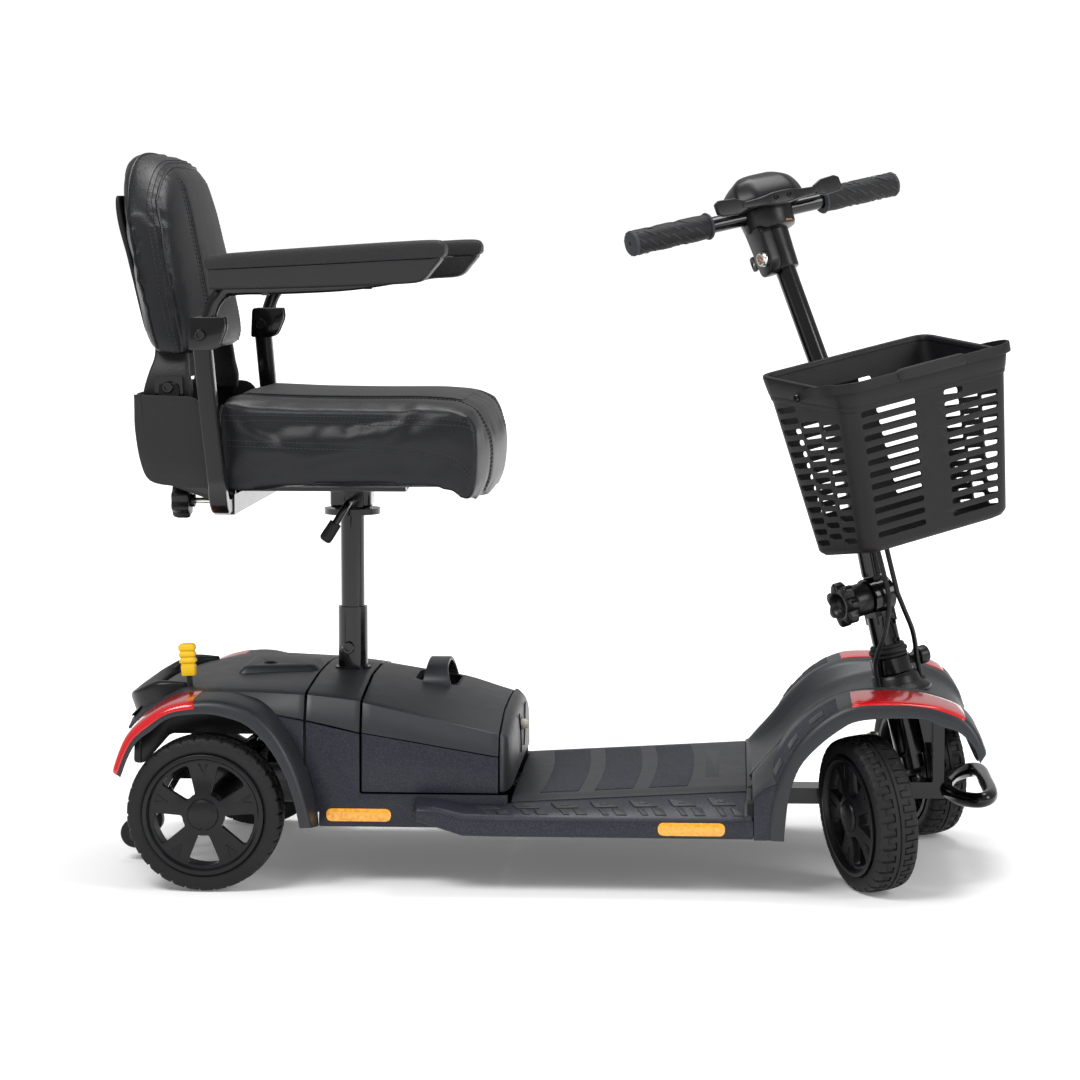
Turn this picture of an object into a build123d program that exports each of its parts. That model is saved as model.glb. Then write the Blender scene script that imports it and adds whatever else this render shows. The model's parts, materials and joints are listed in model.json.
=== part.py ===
"""Four-wheel mobility scooter, one STEP file per piece.

Lengths are in millimetres. X runs forward, Y to the rider's left and Z up. Stations along X are
measured from the rear axle while modelling, and save() moves each finished piece so that the origin
lies on the ground under the middle of the scooter. The rest pose has the tiller on its right stop.
"""
from build123d import *
from math import cos, radians, sin, sqrt
import os

# Running gear
REAR_AXLE_X = -447.4
WHEELBASE = 900
TYRE_RADIUS = 101.5
TYRE_WIDTH = 55
TYRE_SHOULDER = 10
RIM_RADIUS = 77.9
BEAD_RADIUS = 78
AXLE_RADIUS = 8
REAR_TRACK_HALF = 232
KINGPIN_HALF_TRACK = 182
KINGPIN_OFFSET = 48
KINGPIN_RAKE = 6
KNUCKLE_ARM = 42
RUNNING_GAP = 0.06
BODY_GAP = 0.3

# Steering
WHEEL_LOCK = 68
TILLER_LOCK = 58
COLUMN_BASE = Vector(894, 0, 268)
COLUMN_RAKE = 13
PITMAN_ARM = 46
PITMAN_LEVEL = -133
FOLD_PIVOT = 98
LOWER_TUBE = 225
LOWER_TUBE_LEAN = 2.9
UPPER_TUBE = 316
UPPER_TUBE_LEAN = 13.4
HANDLEBAR_HALF = 216

# Body
DECK_HALF = 213
RAIL_HALF = 258
RAIL_BOTTOM = 76
RAIL_TOP = 104
COVER_HALF = 146
FENDER_INNER = 147
FENDER_OUTER = 262
BODY_TOP = 250
BATTERY_REAR = 200
BATTERY_HALF = 198
WALL = 4
TUNNEL_HALF = 80

# Seat
POST_X = 165
POST_RADIUS = 16
POST_FLANGE = 478
SEAT_HALF = 232
BACK_HALF = 190
PAD_HALF = 205
BACK_PIVOT = (-48, 650)
ARM_UPRIGHT = 262
ARM_PIVOT = (5, 719)
ARM_TUBE = 20.4
ARM_LEVEL = 499
ARM_STATION = 25
REAR_EYE = (-98, 84)
EYE_BORE = 8

os.makedirs("parts", exist_ok=True)
TO_FRAME = Location((REAR_AXLE_X, 0, 0))


def save(piece, name, place=Location()):
    """Name a finished piece, put it in its place and write it."""
    placed = piece.part.moved(TO_FRAME * place)
    placed.label = name
    export_step(placed, f"parts/{name}.step")


def block(x, y, z, mode=Mode.ADD):
    """A box between two stations on each axis."""
    with Locations(((x[0] + x[1]) / 2, (y[0] + y[1]) / 2, (z[0] + z[1]) / 2)):
        Box(x[1] - x[0], y[1] - y[0], z[1] - z[0], mode=mode)


def rod(start, end, radius, mode=Mode.ADD):
    """A round bar, or a round hole, between two points."""
    run = Vector(*end) - Vector(*start)
    with BuildSketch(Plane(origin=start, z_dir=run)) as section:
        Circle(radius)
    extrude(section.sketch, amount=run.length, mode=mode)


def slab(points, y, corner=0, mode=Mode.ADD):
    """A side outline in X and Z, extruded between two stations across the scooter."""
    with BuildSketch(Plane.XZ.offset(-y[1])) as outline:
        with BuildLine():
            if corner:
                FilletPolyline(*points, radius=corner, close=True)
            else:
                Polyline(*points, close=True)
        make_face()
    extrude(outline.sketch, amount=y[1] - y[0], mode=mode)


def ring(inner, outer, half_width, shoulder=0):
    """A round ring about Z with rounded outer shoulders."""
    with BuildSketch(Plane.XZ) as section:
        with Locations(((inner + outer) / 2, 0)):
            Rectangle(outer - inner, 2 * half_width)
        if shoulder:
            fillet(section.vertices().group_by(Axis.X)[-1], shoulder)
    revolve(section.sketch, axis=Axis.Z)


# ---------------------------------------------------------------- wheels


def make_tyre():
    with BuildPart() as tyre:
        ring(BEAD_RADIUS, TYRE_RADIUS, TYRE_WIDTH / 2, TYRE_SHOULDER)
    return tyre


def make_rim():
    """Five flared spokes between a hub and the barrel that carries the tyre."""
    hub_radius = 24
    barrel_inner = 71
    with BuildPart() as rim:
        ring(barrel_inner, RIM_RADIUS, 22)
        ring(AXLE_RADIUS + RUNNING_GAP, hub_radius, 20)
        with BuildSketch(Plane.XY.offset(2)):
            with PolarLocations(0, 5):
                with BuildLine():
                    Polyline((20, -9), (72, -17), (72, 17), (20, 9), close=True)
                make_face()
            Circle(hub_radius - 3, mode=Mode.SUBTRACT)
        extrude(amount=12)
    return rim


def wheel_place(centre, outward, up):
    return Plane(origin=centre, x_dir=up, z_dir=outward).location


tyre = make_tyre()
rim = make_rim()
for side, name in ((-1, "right"), (1, "left")):
    centre = (0, side * REAR_TRACK_HALF, TYRE_RADIUS)
    place = wheel_place(centre, (0, side, 0), (0, 0, 1))
    save(tyre, f"rear_tyre_{name}", place)
    save(rim, f"rear_rim_{name}", place)
    with BuildPart() as shaft:
        rod((0, side * 32, TYRE_RADIUS), (0, side * 256, TYRE_RADIUS), AXLE_RADIUS)
    save(shaft, f"drive_shaft_{name}")

# ---------------------------------------------------------------- front axle and steering

# A steered wheel leans, because its kingpin is raked; the stub axle is set up or down the kingpin
# so that both front tyres touch the ground on the steering stop.
LEAN = sin(radians(WHEEL_LOCK)) * sin(radians(KINGPIN_RAKE))
TREAD_HALF = TYRE_WIDTH / 2 - TYRE_SHOULDER
STANDING_HEIGHT = (
    (TYRE_RADIUS - TYRE_SHOULDER) * sqrt(1 - LEAN**2) + TREAD_HALF * LEAN + TYRE_SHOULDER
)
RAKE_COS = cos(radians(KINGPIN_RAKE))
BOSS_HALF = 18
BOSS_RADIUS = 14
YOKE_TOP = BOSS_HALF + BODY_GAP
YOKE_PLATE = 6
EYE_HEIGHT = 38


def steered_plane(origin, rake, lock):
    """Z up an axis that is raked back, X forward and turned right about it, both in degrees."""
    rake = radians(rake)
    lock = radians(lock)
    ahead = (cos(rake) * cos(lock), -sin(lock), sin(rake) * cos(lock))
    return Plane(origin=origin, x_dir=ahead, z_dir=(-sin(rake), 0, cos(rake)))


def kingpin_plane(side):
    """X forward along the steered wheel, Z up the raked kingpin."""
    kingpin_foot = (WHEELBASE, side * KINGPIN_HALF_TRACK, TYRE_RADIUS)
    return steered_plane(kingpin_foot, KINGPIN_RAKE, WHEEL_LOCK)


def stub_height(side):
    """Where the stub axle crosses the kingpin, along the kingpin."""
    return (STANDING_HEIGHT - TYRE_RADIUS - side * KINGPIN_OFFSET * LEAN) / RAKE_COS


COLUMN = steered_plane(COLUMN_BASE, COLUMN_RAKE, TILLER_LOCK)
STEERED = COLUMN.location
pitman_tip = COLUMN.from_local_coords(Vector(-PITMAN_ARM, 0, PITMAN_LEVEL))

for side, name in ((-1, "right"), (1, "left")):
    kingpin = kingpin_plane(side)
    outward = kingpin.y_dir * side
    centre = kingpin.origin + outward * KINGPIN_OFFSET + kingpin.z_dir * stub_height(side)
    place = wheel_place(centre, outward, kingpin.z_dir)
    save(tyre, f"front_tyre_{name}", place)
    save(rim, f"front_rim_{name}", place)
    web = sorted((side * 15.4, side * 21))
    yoke = sorted((0, side * 21))
    with BuildPart() as knuckle:
        block((-14, 14), web, (-YOKE_TOP - YOKE_PLATE, YOKE_TOP + YOKE_PLATE))
        for level in (-YOKE_TOP - YOKE_PLATE, YOKE_TOP):
            block((-14, 14), yoke, (level, level + YOKE_PLATE))
            rod((0, 0, level), (0, 0, level + YOKE_PLATE), 14)
        rod((0, 0, -YOKE_TOP), (0, 0, YOKE_TOP), AXLE_RADIUS)
        rod((0, side * 18, stub_height(side)), (0, side * 73, stub_height(side)), AXLE_RADIUS)
        block((-KNUCKLE_ARM, 0), (-8, 8), (YOKE_TOP, YOKE_TOP + YOKE_PLATE))
        rod((-KNUCKLE_ARM, 0, YOKE_TOP), (-KNUCKLE_ARM, 0, YOKE_TOP + YOKE_PLATE), 9)
        rod((-KNUCKLE_ARM, 0, YOKE_TOP), (-KNUCKLE_ARM, 0, EYE_HEIGHT + 6), 4)
    save(knuckle, f"knuckle_{name}", kingpin.location)

    # The track rod's outer eye turns on the knuckle arm. Its inner eye has room round the pitman bolt.
    outer_eye = kingpin.from_local_coords(Vector(-KNUCKLE_ARM, 0, EYE_HEIGHT))
    inner_level = 9 if side < 0 else -11.5
    inner_eye = pitman_tip + COLUMN.z_dir * inner_level
    run = (inner_eye - outer_eye).normalized()
    axis = kingpin.z_dir
    with BuildPart() as tie_rod:
        rod(outer_eye + run * 6, inner_eye - run * 11, 4.5)
        rod(outer_eye - axis * 4, outer_eye + axis * 4, 9)
        rod(inner_eye - axis * 3, inner_eye + axis * 3, 14)
        rod(outer_eye - axis * 5, outer_eye + axis * 5, 4 + RUNNING_GAP, Mode.SUBTRACT)
        rod(inner_eye - axis * 6, inner_eye + axis * 6, 9.5, Mode.SUBTRACT)
    save(tie_rod, f"tie_rod_{name}")

HEAD_TUBE = (-122, -14)
STEM_RADIUS = 15
head_low = COLUMN.from_local_coords(Vector(0, 0, HEAD_TUBE[0]))
head_high = COLUMN.from_local_coords(Vector(0, 0, HEAD_TUBE[1]))
with BuildPart() as front_subframe:
    beam_rear = WHEELBASE - 14
    beam_level = (TYRE_RADIUS - 11, TYRE_RADIUS + 11)
    block((beam_rear, WHEELBASE + 14), (-KINGPIN_HALF_TRACK, KINGPIN_HALF_TRACK), beam_level)
    block((WHEELBASE + 14, 965), (-20, 20), beam_level)
    block((950, 965), (-20, 20), (TYRE_RADIUS + 11, 215))
    block((915, 952), (-6, 6), (165, 213))
    rod(head_low, head_high, 21)
    rod(head_low - COLUMN.z_dir, head_high + COLUMN.z_dir, STEM_RADIUS + RUNNING_GAP, Mode.SUBTRACT)
    for side in (-1, 1):
        kingpin = kingpin_plane(side)
        low = kingpin.origin - kingpin.z_dir * BOSS_HALF
        high = kingpin.origin + kingpin.z_dir * BOSS_HALF
        rod(low, high, BOSS_RADIUS)
    for side in (-1, 1):
        kingpin = kingpin_plane(side)
        low = kingpin.origin - kingpin.z_dir * (BOSS_HALF + 8)
        high = kingpin.origin + kingpin.z_dir * (BOSS_HALF + 8)
        block((870, 930), sorted((side * 196.5, side * 182)), (60, 140), Mode.SUBTRACT)
        rod(kingpin.origin - kingpin.z_dir * BOSS_HALF, kingpin.origin + kingpin.z_dir * BOSS_HALF, BOSS_RADIUS)
        rod(low, high, AXLE_RADIUS + RUNNING_GAP, Mode.SUBTRACT)
save(front_subframe, "front_subframe")

# ---------------------------------------------------------------- main frame and drive

SPINE = (82.5, 104)
with BuildPart() as main_frame:
    block((142, WHEELBASE - 14), (-25, 25), SPINE)
    block((142, 199), (-25, 25), (SPINE[1], 118))
    block((142, 192), (-82, 82), (118, 138))
    for side in (-1, 1):
        block((-70, 192), sorted((side * 62, side * 82)), (118, 138))
    rod((POST_X, 0, SPINE[1]), (POST_X, 0, 344), 20)
    rod((POST_X, 0, BODY_TOP + 1), (POST_X, 0, 262), 24)
    rod((POST_X, 0, SPINE[1]), (POST_X, 0, 345), POST_RADIUS + RUNNING_GAP, Mode.SUBTRACT)
save(main_frame, "main_frame")

with BuildPart() as transaxle:
    rod((0, -30, TYRE_RADIUS), (0, 30, TYRE_RADIUS), 42)
    rod((0, -185, TYRE_RADIUS), (0, 185, TYRE_RADIUS), 16)
    for side in (-1, 1):
        rod((0, side * 31, TYRE_RADIUS), (0, side * 186, TYRE_RADIUS), AXLE_RADIUS + RUNNING_GAP, Mode.SUBTRACT)
save(transaxle, "transaxle")

with BuildPart() as drive_motor:
    rod((43, 0, 110), (138, 0, 110), 36)
    block((43, 52), (-38, 38), (72, 148))
save(drive_motor, "drive_motor")

with BuildPart() as motor_controller:
    block((215, 335), (45, 135), (84, 112))
    with GridLocations(0, 12, 1, 6):
        with Locations((275, 90, 114)):
            Box(110, 3, 4)
save(motor_controller, "motor_controller")

with BuildPart() as anti_tip_frame:
    for side in (-1, 1):
        arm = [(-70, 136), (-70, 120), (-121, 32), (-133, 32), (-133, 44), (-78, 136)]
        slab(arm, sorted((side * 62, side * 70)))
    rod((-127, -72, 38), (-127, 72, 38), 5)
    block((-110, -98), (-62, 62), (62, 70))
    block((-108, -88), (-4, 4), (62, REAR_EYE[1]))
    rod((REAR_EYE[0], -4, REAR_EYE[1]), (REAR_EYE[0], 4, REAR_EYE[1]), 14)
    rod((REAR_EYE[0], -5, REAR_EYE[1]), (REAR_EYE[0], 5, REAR_EYE[1]), EYE_BORE, Mode.SUBTRACT)
save(anti_tip_frame, "anti_tip_frame")

with BuildPart() as anti_tip_wheels:
    for side in (-1, 1):
        with BuildSketch(Plane.XZ.offset(-side * 49)):
            with Locations((-127, 38)):
                Circle(20)
                Circle(5 + RUNNING_GAP, mode=Mode.SUBTRACT)
        extrude(amount=11, both=True)
    fillet(anti_tip_wheels.edges().filter_by(GeomType.CIRCLE).group_by(SortBy.RADIUS)[-1], 4)
save(anti_tip_wheels, "anti_tip_wheels")

with BuildPart() as front_bumper:
    for side in (-1, 1):
        rod((974, side * 14, 101), (984, side * 62, 101), 8)
        rod((984, side * 62, 101), (1022, side * 62, 112), 8)
        with Locations((984, side * 62, 101)):
            Sphere(8)
    block((965.3, 982), (-20, 20), (92, 110))
    rod((1022, -118, 112), (1022, 118, 112), 9)
    for side in (-1, 1):
        with Locations((1022, side * 118, 112)):
            Sphere(9)
save(front_bumper, "front_bumper")

# ---------------------------------------------------------------- body shell

with BuildPart() as floor_deck:
    slab([(393, 80), (706, 80), (706, 140), (697, 133), (393, 116)], (-DECK_HALF, DECK_HALF))
    under = [(397, 79), (702, 79), (702, 130), (397, 112)]
    slab(under, (-DECK_HALF + WALL, DECK_HALF - WALL), mode=Mode.SUBTRACT)
    for side in (-1, 1):
        rail = [(272, 100), (282, 96), (335, RAIL_BOTTOM), (728, RAIL_BOTTOM), (728, RAIL_TOP), (335, RAIL_TOP),
                (282, 115), (272, 114)]
        slab(rail, sorted((side * (DECK_HALF + 0.5), side * RAIL_HALF)))
        pocket = [(345, RAIL_BOTTOM - 1), (720, RAIL_BOTTOM - 1), (720, RAIL_TOP - WALL), (345, RAIL_TOP - WALL)]
        slab(pocket, sorted((side * (DECK_HALF + 5), side * (RAIL_HALF - WALL))), mode=Mode.SUBTRACT)
        block((400, 700), sorted((side * (DECK_HALF - 2), side * (DECK_HALF + 4))), (90, 100))
    block((390, 880), (-25.5, 25.5), (79, SPINE[1] + 0.5), Mode.SUBTRACT)
save(floor_deck, "floor_deck")

DECK_SLOPE = (133 - 116) / (697 - 393)


def deck_top(x):
    return 116 + DECK_SLOPE * (x - 393)


with BuildPart() as grip_panels:
    for low, high in ((-176, -64), (-56, 56), (64, 176)):
        panel = [(415, deck_top(415)), (675, deck_top(675)), (675, deck_top(675) + 1.5), (415, deck_top(415) + 1.5)]
        slab(panel, (low, high))
save(grip_panels, "grip_panels")

with BuildPart() as lower_body:
    block((-118, 143), (-COVER_HALF, COVER_HALF), (78, 186))
    block((143, 199), (-212, 212), (78, 226))
    block((199, 392), (-205, 205), (78, 118))
    block((-114, 147), (-COVER_HALF + WALL, COVER_HALF - WALL), (70, 190), Mode.SUBTRACT)
    block((147, 195), (-208, 208), (82, 230), Mode.SUBTRACT)
    block((190, 388), (-201, 201), (82, 122), Mode.SUBTRACT)
    block((195, 200), (-213, 213), (118, 230), Mode.SUBTRACT)
    block((143, 148), (-COVER_HALF, COVER_HALF), (186, 230), Mode.SUBTRACT)
    rod((0, -150, TYRE_RADIUS), (0, 150, TYRE_RADIUS), 18, Mode.SUBTRACT)
    block((384, 393), (-26, 26), (82, 119), Mode.SUBTRACT)
save(lower_body, "lower_body")

with BuildPart() as rear_cover:
    rear = [(-122, 186.3), (143, 186.3), (143, BODY_TOP), (-86, BODY_TOP), (-122, 218)]
    slab(rear, (-COVER_HALF, COVER_HALF))
    block((130, 199), (-212, 212), (226.3, BODY_TOP - 1))
    block((140, 199), (-COVER_HALF, COVER_HALF), (226.3, BODY_TOP))
    inside = [(-118, 180), (139, 180), (139, BODY_TOP - WALL), (-84, BODY_TOP - WALL), (-118, 216)]
    slab(inside, (-COVER_HALF + WALL, COVER_HALF - WALL), mode=Mode.SUBTRACT)
    block((134, 195), (-208, 208), (180, BODY_TOP - WALL - 1), Mode.SUBTRACT)
    rod((POST_X, 0, 230), (POST_X, 0, 260), 22, Mode.SUBTRACT)
    block((-52, 4), (-143, -127), (235, 260), Mode.SUBTRACT)
save(rear_cover, "rear_cover")

for side, name in ((-1, "right"), (1, "left")):
    reach = sorted((side * FENDER_INNER, side * FENDER_OUTER))
    with BuildPart() as rear_fender:
        with BuildSketch(Plane.XZ.offset(-reach[1])):
            with Locations((0, TYRE_RADIUS)):
                Circle(143)
                Circle(133, mode=Mode.SUBTRACT)
            with Locations((0, TYRE_RADIUS - 102)):
                Rectangle(320, 170, mode=Mode.SUBTRACT)
            with Locations((-140, 100)):
                Rectangle(80, 100, mode=Mode.SUBTRACT)
            with BuildLine():
                Polyline((132, 86), (142, 78), (142, 112), (134, 112), close=True)
            make_face()
        extrude(amount=reach[1] - reach[0])
    save(rear_fender, f"rear_fender_{name}")

    outer = [(731, 78), (731, 150), (808, 251), (945, 251), (998, 210), (998, 188)]
    inner = [(740, 70), (740, 147), (812, 243), (942, 243), (993, 206), (993, 170)]
    with BuildPart() as front_fender:
        slab(outer, reach, corner=8)
        slab(inner, reach, mode=Mode.SUBTRACT)
        below = [(739.9, 70), (739.9, 147), (994, 188.1), (1010, 188.1), (1010, 60)]
        slab(below, reach, mode=Mode.SUBTRACT)
    save(front_fender, f"front_fender_{name}")

with BuildPart() as front_cowl:
    tunnel = [(707, 82), (800, 82), (800, 152), (1000, 152), (1003, 190), (985, 232), (905, 246), (850, 240),
              (707, 146)]
    slab(tunnel, (-TUNNEL_HALF, TUNNEL_HALF))
    hollow = [(711, 80), (796, 80), (796, 140), (996, 140), (999, 189), (982, 228), (904, 242), (851, 236),
              (711, 144)]
    slab(hollow, (-TUNNEL_HALF + WALL, TUNNEL_HALF - WALL), mode=Mode.SUBTRACT)
    wing = [(850, 240), (905, 246), (985, 232), (984, 228), (905, 242), (851, 236), (761, 177), (759, 181)]
    slab(wing, (-FENDER_INNER + 1, -TUNNEL_HALF + 1))
    slab(wing, (TUNNEL_HALF - 1, FENDER_INNER - 1))
    riser = [(707, 82), (711, 82), (711, 144), (760, 176), (760, 182), (707, 146)]
    slab(riser, (-DECK_HALF, -TUNNEL_HALF + 1))
    slab(riser, (TUNNEL_HALF - 1, DECK_HALF))
    for side in (-1, 1):
        block((729, 762), sorted((side * 146, side * 214)), (150, 190), Mode.SUBTRACT)
    rod(COLUMN.from_local_coords(Vector(0, 0, -60)), COLUMN.from_local_coords(Vector(0, 0, 0)), 25, Mode.SUBTRACT)
    block((700, 810), (-25.5, 25.5), (80, SPINE[1] + 0.5), Mode.SUBTRACT)
    for entry in (-34, 34):
        low = COLUMN.from_local_coords(Vector(12, entry, -60))
        high = COLUMN.from_local_coords(Vector(12, entry, 0))
        rod(low, high, 6, Mode.SUBTRACT)
save(front_cowl, "front_cowl")

# ---------------------------------------------------------------- battery pack and rear controls

with BuildPart() as battery_case:
    profile = [(BATTERY_REAR, 120), (380, 120), (395, 146), (391, 214), (313, 243), (216, 257), (BATTERY_REAR, 255)]
    slab(profile, (-BATTERY_HALF, BATTERY_HALF), corner=4)
    hollow = [(BATTERY_REAR + 4, 110), (377, 110), (390, 147), (387, 210), (312, 238), (217, 252),
              (BATTERY_REAR + 4, 250)]
    slab(hollow, (-BATTERY_HALF + WALL, BATTERY_HALF - WALL), mode=Mode.SUBTRACT)
    block((262, 312), (-52, 52), (222, 262))
    block((266, 308), (-48, 48), (226, 263), Mode.SUBTRACT)
    top_cut = [(255, 251.6), (320, 242.2), (320, 280), (255, 280)]
    slab(top_cut, (-BATTERY_HALF, BATTERY_HALF), mode=Mode.SUBTRACT)
    strap = [(277, 250), (299, 247), (299, 253), (277, 256)]
    slab(strap, (-58, 58))
    for side in (-1, 1):
        foot = [(277, 240), (299, 236), (299, 250), (277, 253)]
        slab(foot, sorted((side * 53, side * 62)))
    rod((380, 0, 184), (396, 0, 184), 7.3, Mode.SUBTRACT)
save(battery_case, "battery_case")

with BuildPart() as battery_cells:
    for side in (-1, 1):
        block((215, 366), sorted((side * 54, side * 152)), (124, 214))
save(battery_cells, "battery_cells")

with BuildPart() as breaker_button:
    rod((384, 0, 184), (397, 0, 184), 7)
    fillet(breaker_button.edges().group_by(Axis.X)[-1], 2)
save(breaker_button, "breaker_button")

with BuildPart() as freewheel_lever:
    rod((-34, -135, 216), (-37, -135, 268), 5)
    rod((-36.5, -135, 262), (-40, -135, 308), 11)
    rod((-34, -141, 218), (-34, -129, 218), 8)
save(freewheel_lever, "freewheel_lever")

# ---------------------------------------------------------------- steering column and tiller
# These pieces are drawn with X forward along the tiller, Y left and Z up the steering axis.

LUG_RADIUS = 25
LUG_HALF = 6
with BuildPart() as steering_column:
    rod((0, 0, PITMAN_LEVEL - 8), (0, 0, 12), STEM_RADIUS)
    rod((0, 0, -8), (0, 0, 12), 27)
    rod((0, 0, 12), (0, 0, 70), 19)
    for side in (-1, 1):
        lug = sorted((side * (LUG_HALF + BODY_GAP), side * 16))
        block((-14, 14), lug, (60, FOLD_PIVOT))
        rod((0, lug[0], FOLD_PIVOT), (0, lug[1], FOLD_PIVOT), LUG_RADIUS)
    rod((0, -17, FOLD_PIVOT), (0, 17, FOLD_PIVOT), 5 + RUNNING_GAP, Mode.SUBTRACT)
    block((-PITMAN_ARM, 0), (-9, 9), (PITMAN_LEVEL - 3, PITMAN_LEVEL + 3))
    rod((-PITMAN_ARM, 0, PITMAN_LEVEL - 3), (-PITMAN_ARM, 0, PITMAN_LEVEL + 3), 9)
    rod((-PITMAN_ARM, 0, PITMAN_LEVEL - 14.8), (-PITMAN_ARM, 0, PITMAN_LEVEL + 15), 3)
    rod((0, -28, 2), (0, -15, 2), 4 + RUNNING_GAP, Mode.SUBTRACT)
save(steering_column, "steering_column", STEERED)

with BuildPart() as lock_plunger:
    rod((0, -17, 2), (0, -46, 2), 4)
    rod((0, -44, 2), (0, -58, 2), 11)
    fillet(lock_plunger.edges().group_by(Axis.Y)[0], 3)
save(lock_plunger, "lock_plunger", STEERED)

fold = Vector(0, 0, FOLD_PIVOT)
lower_run = Vector(sin(radians(LOWER_TUBE_LEAN)), 0, cos(radians(LOWER_TUBE_LEAN)))
upper_run = Vector(-sin(radians(UPPER_TUBE_LEAN)), 0, cos(radians(UPPER_TUBE_LEAN)))
elbow = fold + lower_run * LOWER_TUBE
grip_centre = elbow + upper_run * UPPER_TUBE
HEAD_DEPTH = 70
TILLER_RADIUS = 14
with BuildPart() as tiller_tube:
    rod((0, -LUG_HALF, FOLD_PIVOT), (0, LUG_HALF, FOLD_PIVOT), LUG_RADIUS - 1)
    block((-12, 12), (-LUG_HALF, LUG_HALF), (FOLD_PIVOT, FOLD_PIVOT + 32))
    rod(fold + lower_run * 28, elbow, TILLER_RADIUS)
    with Locations(elbow):
        Sphere(TILLER_RADIUS)
    rod(elbow, grip_centre - upper_run * HEAD_DEPTH, TILLER_RADIUS)
    block((8, 36), (-12, 12), (335, 350))
    block((30, 36), (-24, 24), (335, 402))
    rod((0, -17, FOLD_PIVOT), (0, 17, FOLD_PIVOT), 5 + RUNNING_GAP, Mode.SUBTRACT)
save(tiller_tube, "tiller_tube", STEERED)

with BuildPart() as star_knob:
    rod((0, -30, FOLD_PIVOT), (0, 20, FOLD_PIVOT), 5)
    with BuildSketch(Plane.XZ.offset(24)):
        with Locations((0, FOLD_PIVOT)):
            Circle(22)
            with PolarLocations(20, 8):
                Circle(8)
    extrude(amount=38)
    rod((0, -17, FOLD_PIVOT), (0, -26, FOLD_PIVOT), 14)
save(star_knob, "star_knob", STEERED)

HEAD = Plane(
    origin=grip_centre,
    x_dir=(cos(radians(UPPER_TUBE_LEAN)), 0, sin(radians(UPPER_TUBE_LEAN))),
    z_dir=upper_run,
)
ON_HEAD = STEERED * HEAD.location
BAR_RADIUS = 11
with BuildPart() as tiller_head:
    block((-38, 38), (-45, 45), (-HEAD_DEPTH, 48))
    fillet(tiller_head.edges(), 12)
    rod((0, -60, 0), (0, 60, 0), BAR_RADIUS + RUNNING_GAP, Mode.SUBTRACT)
save(tiller_head, "tiller_head", ON_HEAD)

with BuildPart() as handlebar:
    rod((0, -HANDLEBAR_HALF + 3, 0), (0, HANDLEBAR_HALF - 3, 0), BAR_RADIUS)
save(handlebar, "handlebar", ON_HEAD)

with BuildPart() as hand_grips:
    for side in (-1, 1):
        rod((0, side * 92, 0), (0, side * HANDLEBAR_HALF, 0), 17)
        rod((0, side * 91, 0), (0, side * (HANDLEBAR_HALF - 3), 0), BAR_RADIUS + RUNNING_GAP, Mode.SUBTRACT)
save(hand_grips, "hand_grips", ON_HEAD)

LEVER_PIVOT = 47
with BuildPart() as throttle_lever:
    block((50, 57), (-98, 98), (-4, 12))
    fillet(throttle_lever.edges().filter_by(Axis.X), 6)
    rod((LEVER_PIVOT, 0, -4), (LEVER_PIVOT, 0, 12), 8)
save(throttle_lever, "throttle_lever", ON_HEAD)

with BuildPart() as ignition_key:
    rod((-38.3, 0, -50), (-58, 0, -50), 6)
    block((-74, -56), (-2, 2), (-60, -40))
save(ignition_key, "ignition_key", ON_HEAD)

BASKET_BOTTOM = 175
BASKET_TOP = 425
with BuildPart() as basket:
    for inset, mode in ((0, Mode.ADD), (3, Mode.SUBTRACT)):
        floor = BASKET_BOTTOM + inset
        with BuildSketch(Plane.XY.offset(floor)):
            with Locations((119, 0)):
                Rectangle(122 - 2 * inset, 228 - 2 * inset)
        with BuildSketch(Plane.XY.offset(BASKET_TOP + inset)):
            with Locations((144, 0)):
                Rectangle(190 - 2 * inset, 264 - 2 * inset)
        loft(mode=mode)
    trim = [(30, 426), (49, 423), (239, 383), (260, 383), (260, 450), (30, 450)]
    slab(trim, (-150, 150), mode=Mode.SUBTRACT)
    block((22, 52), (-20, 20), (403, 407))
    block((22, 26), (-20, 20), (380, 407))
save(basket, "basket", STEERED)

BAIL_PIVOT = (140, 388)
with BuildPart() as basket_handle:
    bail = [(BAIL_PIVOT[0], -140, BAIL_PIVOT[1]), (236, -140, 393.5), (236, 140, 393.5), (BAIL_PIVOT[0], 140, BAIL_PIVOT[1])]
    with BuildLine():
        FilletPolyline(*bail, radius=24)
    with BuildSketch(Plane(origin=bail[0], z_dir=Vector(*bail[1]) - Vector(*bail[0]))):
        Circle(3)
    sweep()
    rod((236, -45, 393.5), (236, 45, 393.5), 9)
    for side in (-1, 1):
        rod((BAIL_PIVOT[0], side * 141, BAIL_PIVOT[1]), (BAIL_PIVOT[0], side * 130, BAIL_PIVOT[1]), 4)
save(basket_handle, "basket_handle", STEERED)

# Two control leads from the tiller head down the front of the tube and through the cowl.
CABLE_RADIUS = 3.5
cable_routes = (
    [(32, -10, 288), (36, -9, 220), (40, -6, 150), (42, -5, 92), (32, -24, 46), (14, -34, 14), (12, -34, -30)],
    [(32, 10, 288), (36, 9, 220), (40, 7, 150), (42, 7, 92), (32, 24, 46), (14, 34, 14), (12, 34, -30)],
)
with BuildPart() as tiller_cables:
    for route in cable_routes:
        with BuildLine():
            FilletPolyline(*route, radius=[60, 60, 60, 45, 30])
        with BuildSketch(Plane(origin=route[0], z_dir=Vector(*route[1]) - Vector(*route[0]))):
            Circle(CABLE_RADIUS)
        sweep()
save(tiller_cables, "tiller_cables", STEERED)

# ---------------------------------------------------------------- seat

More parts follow.
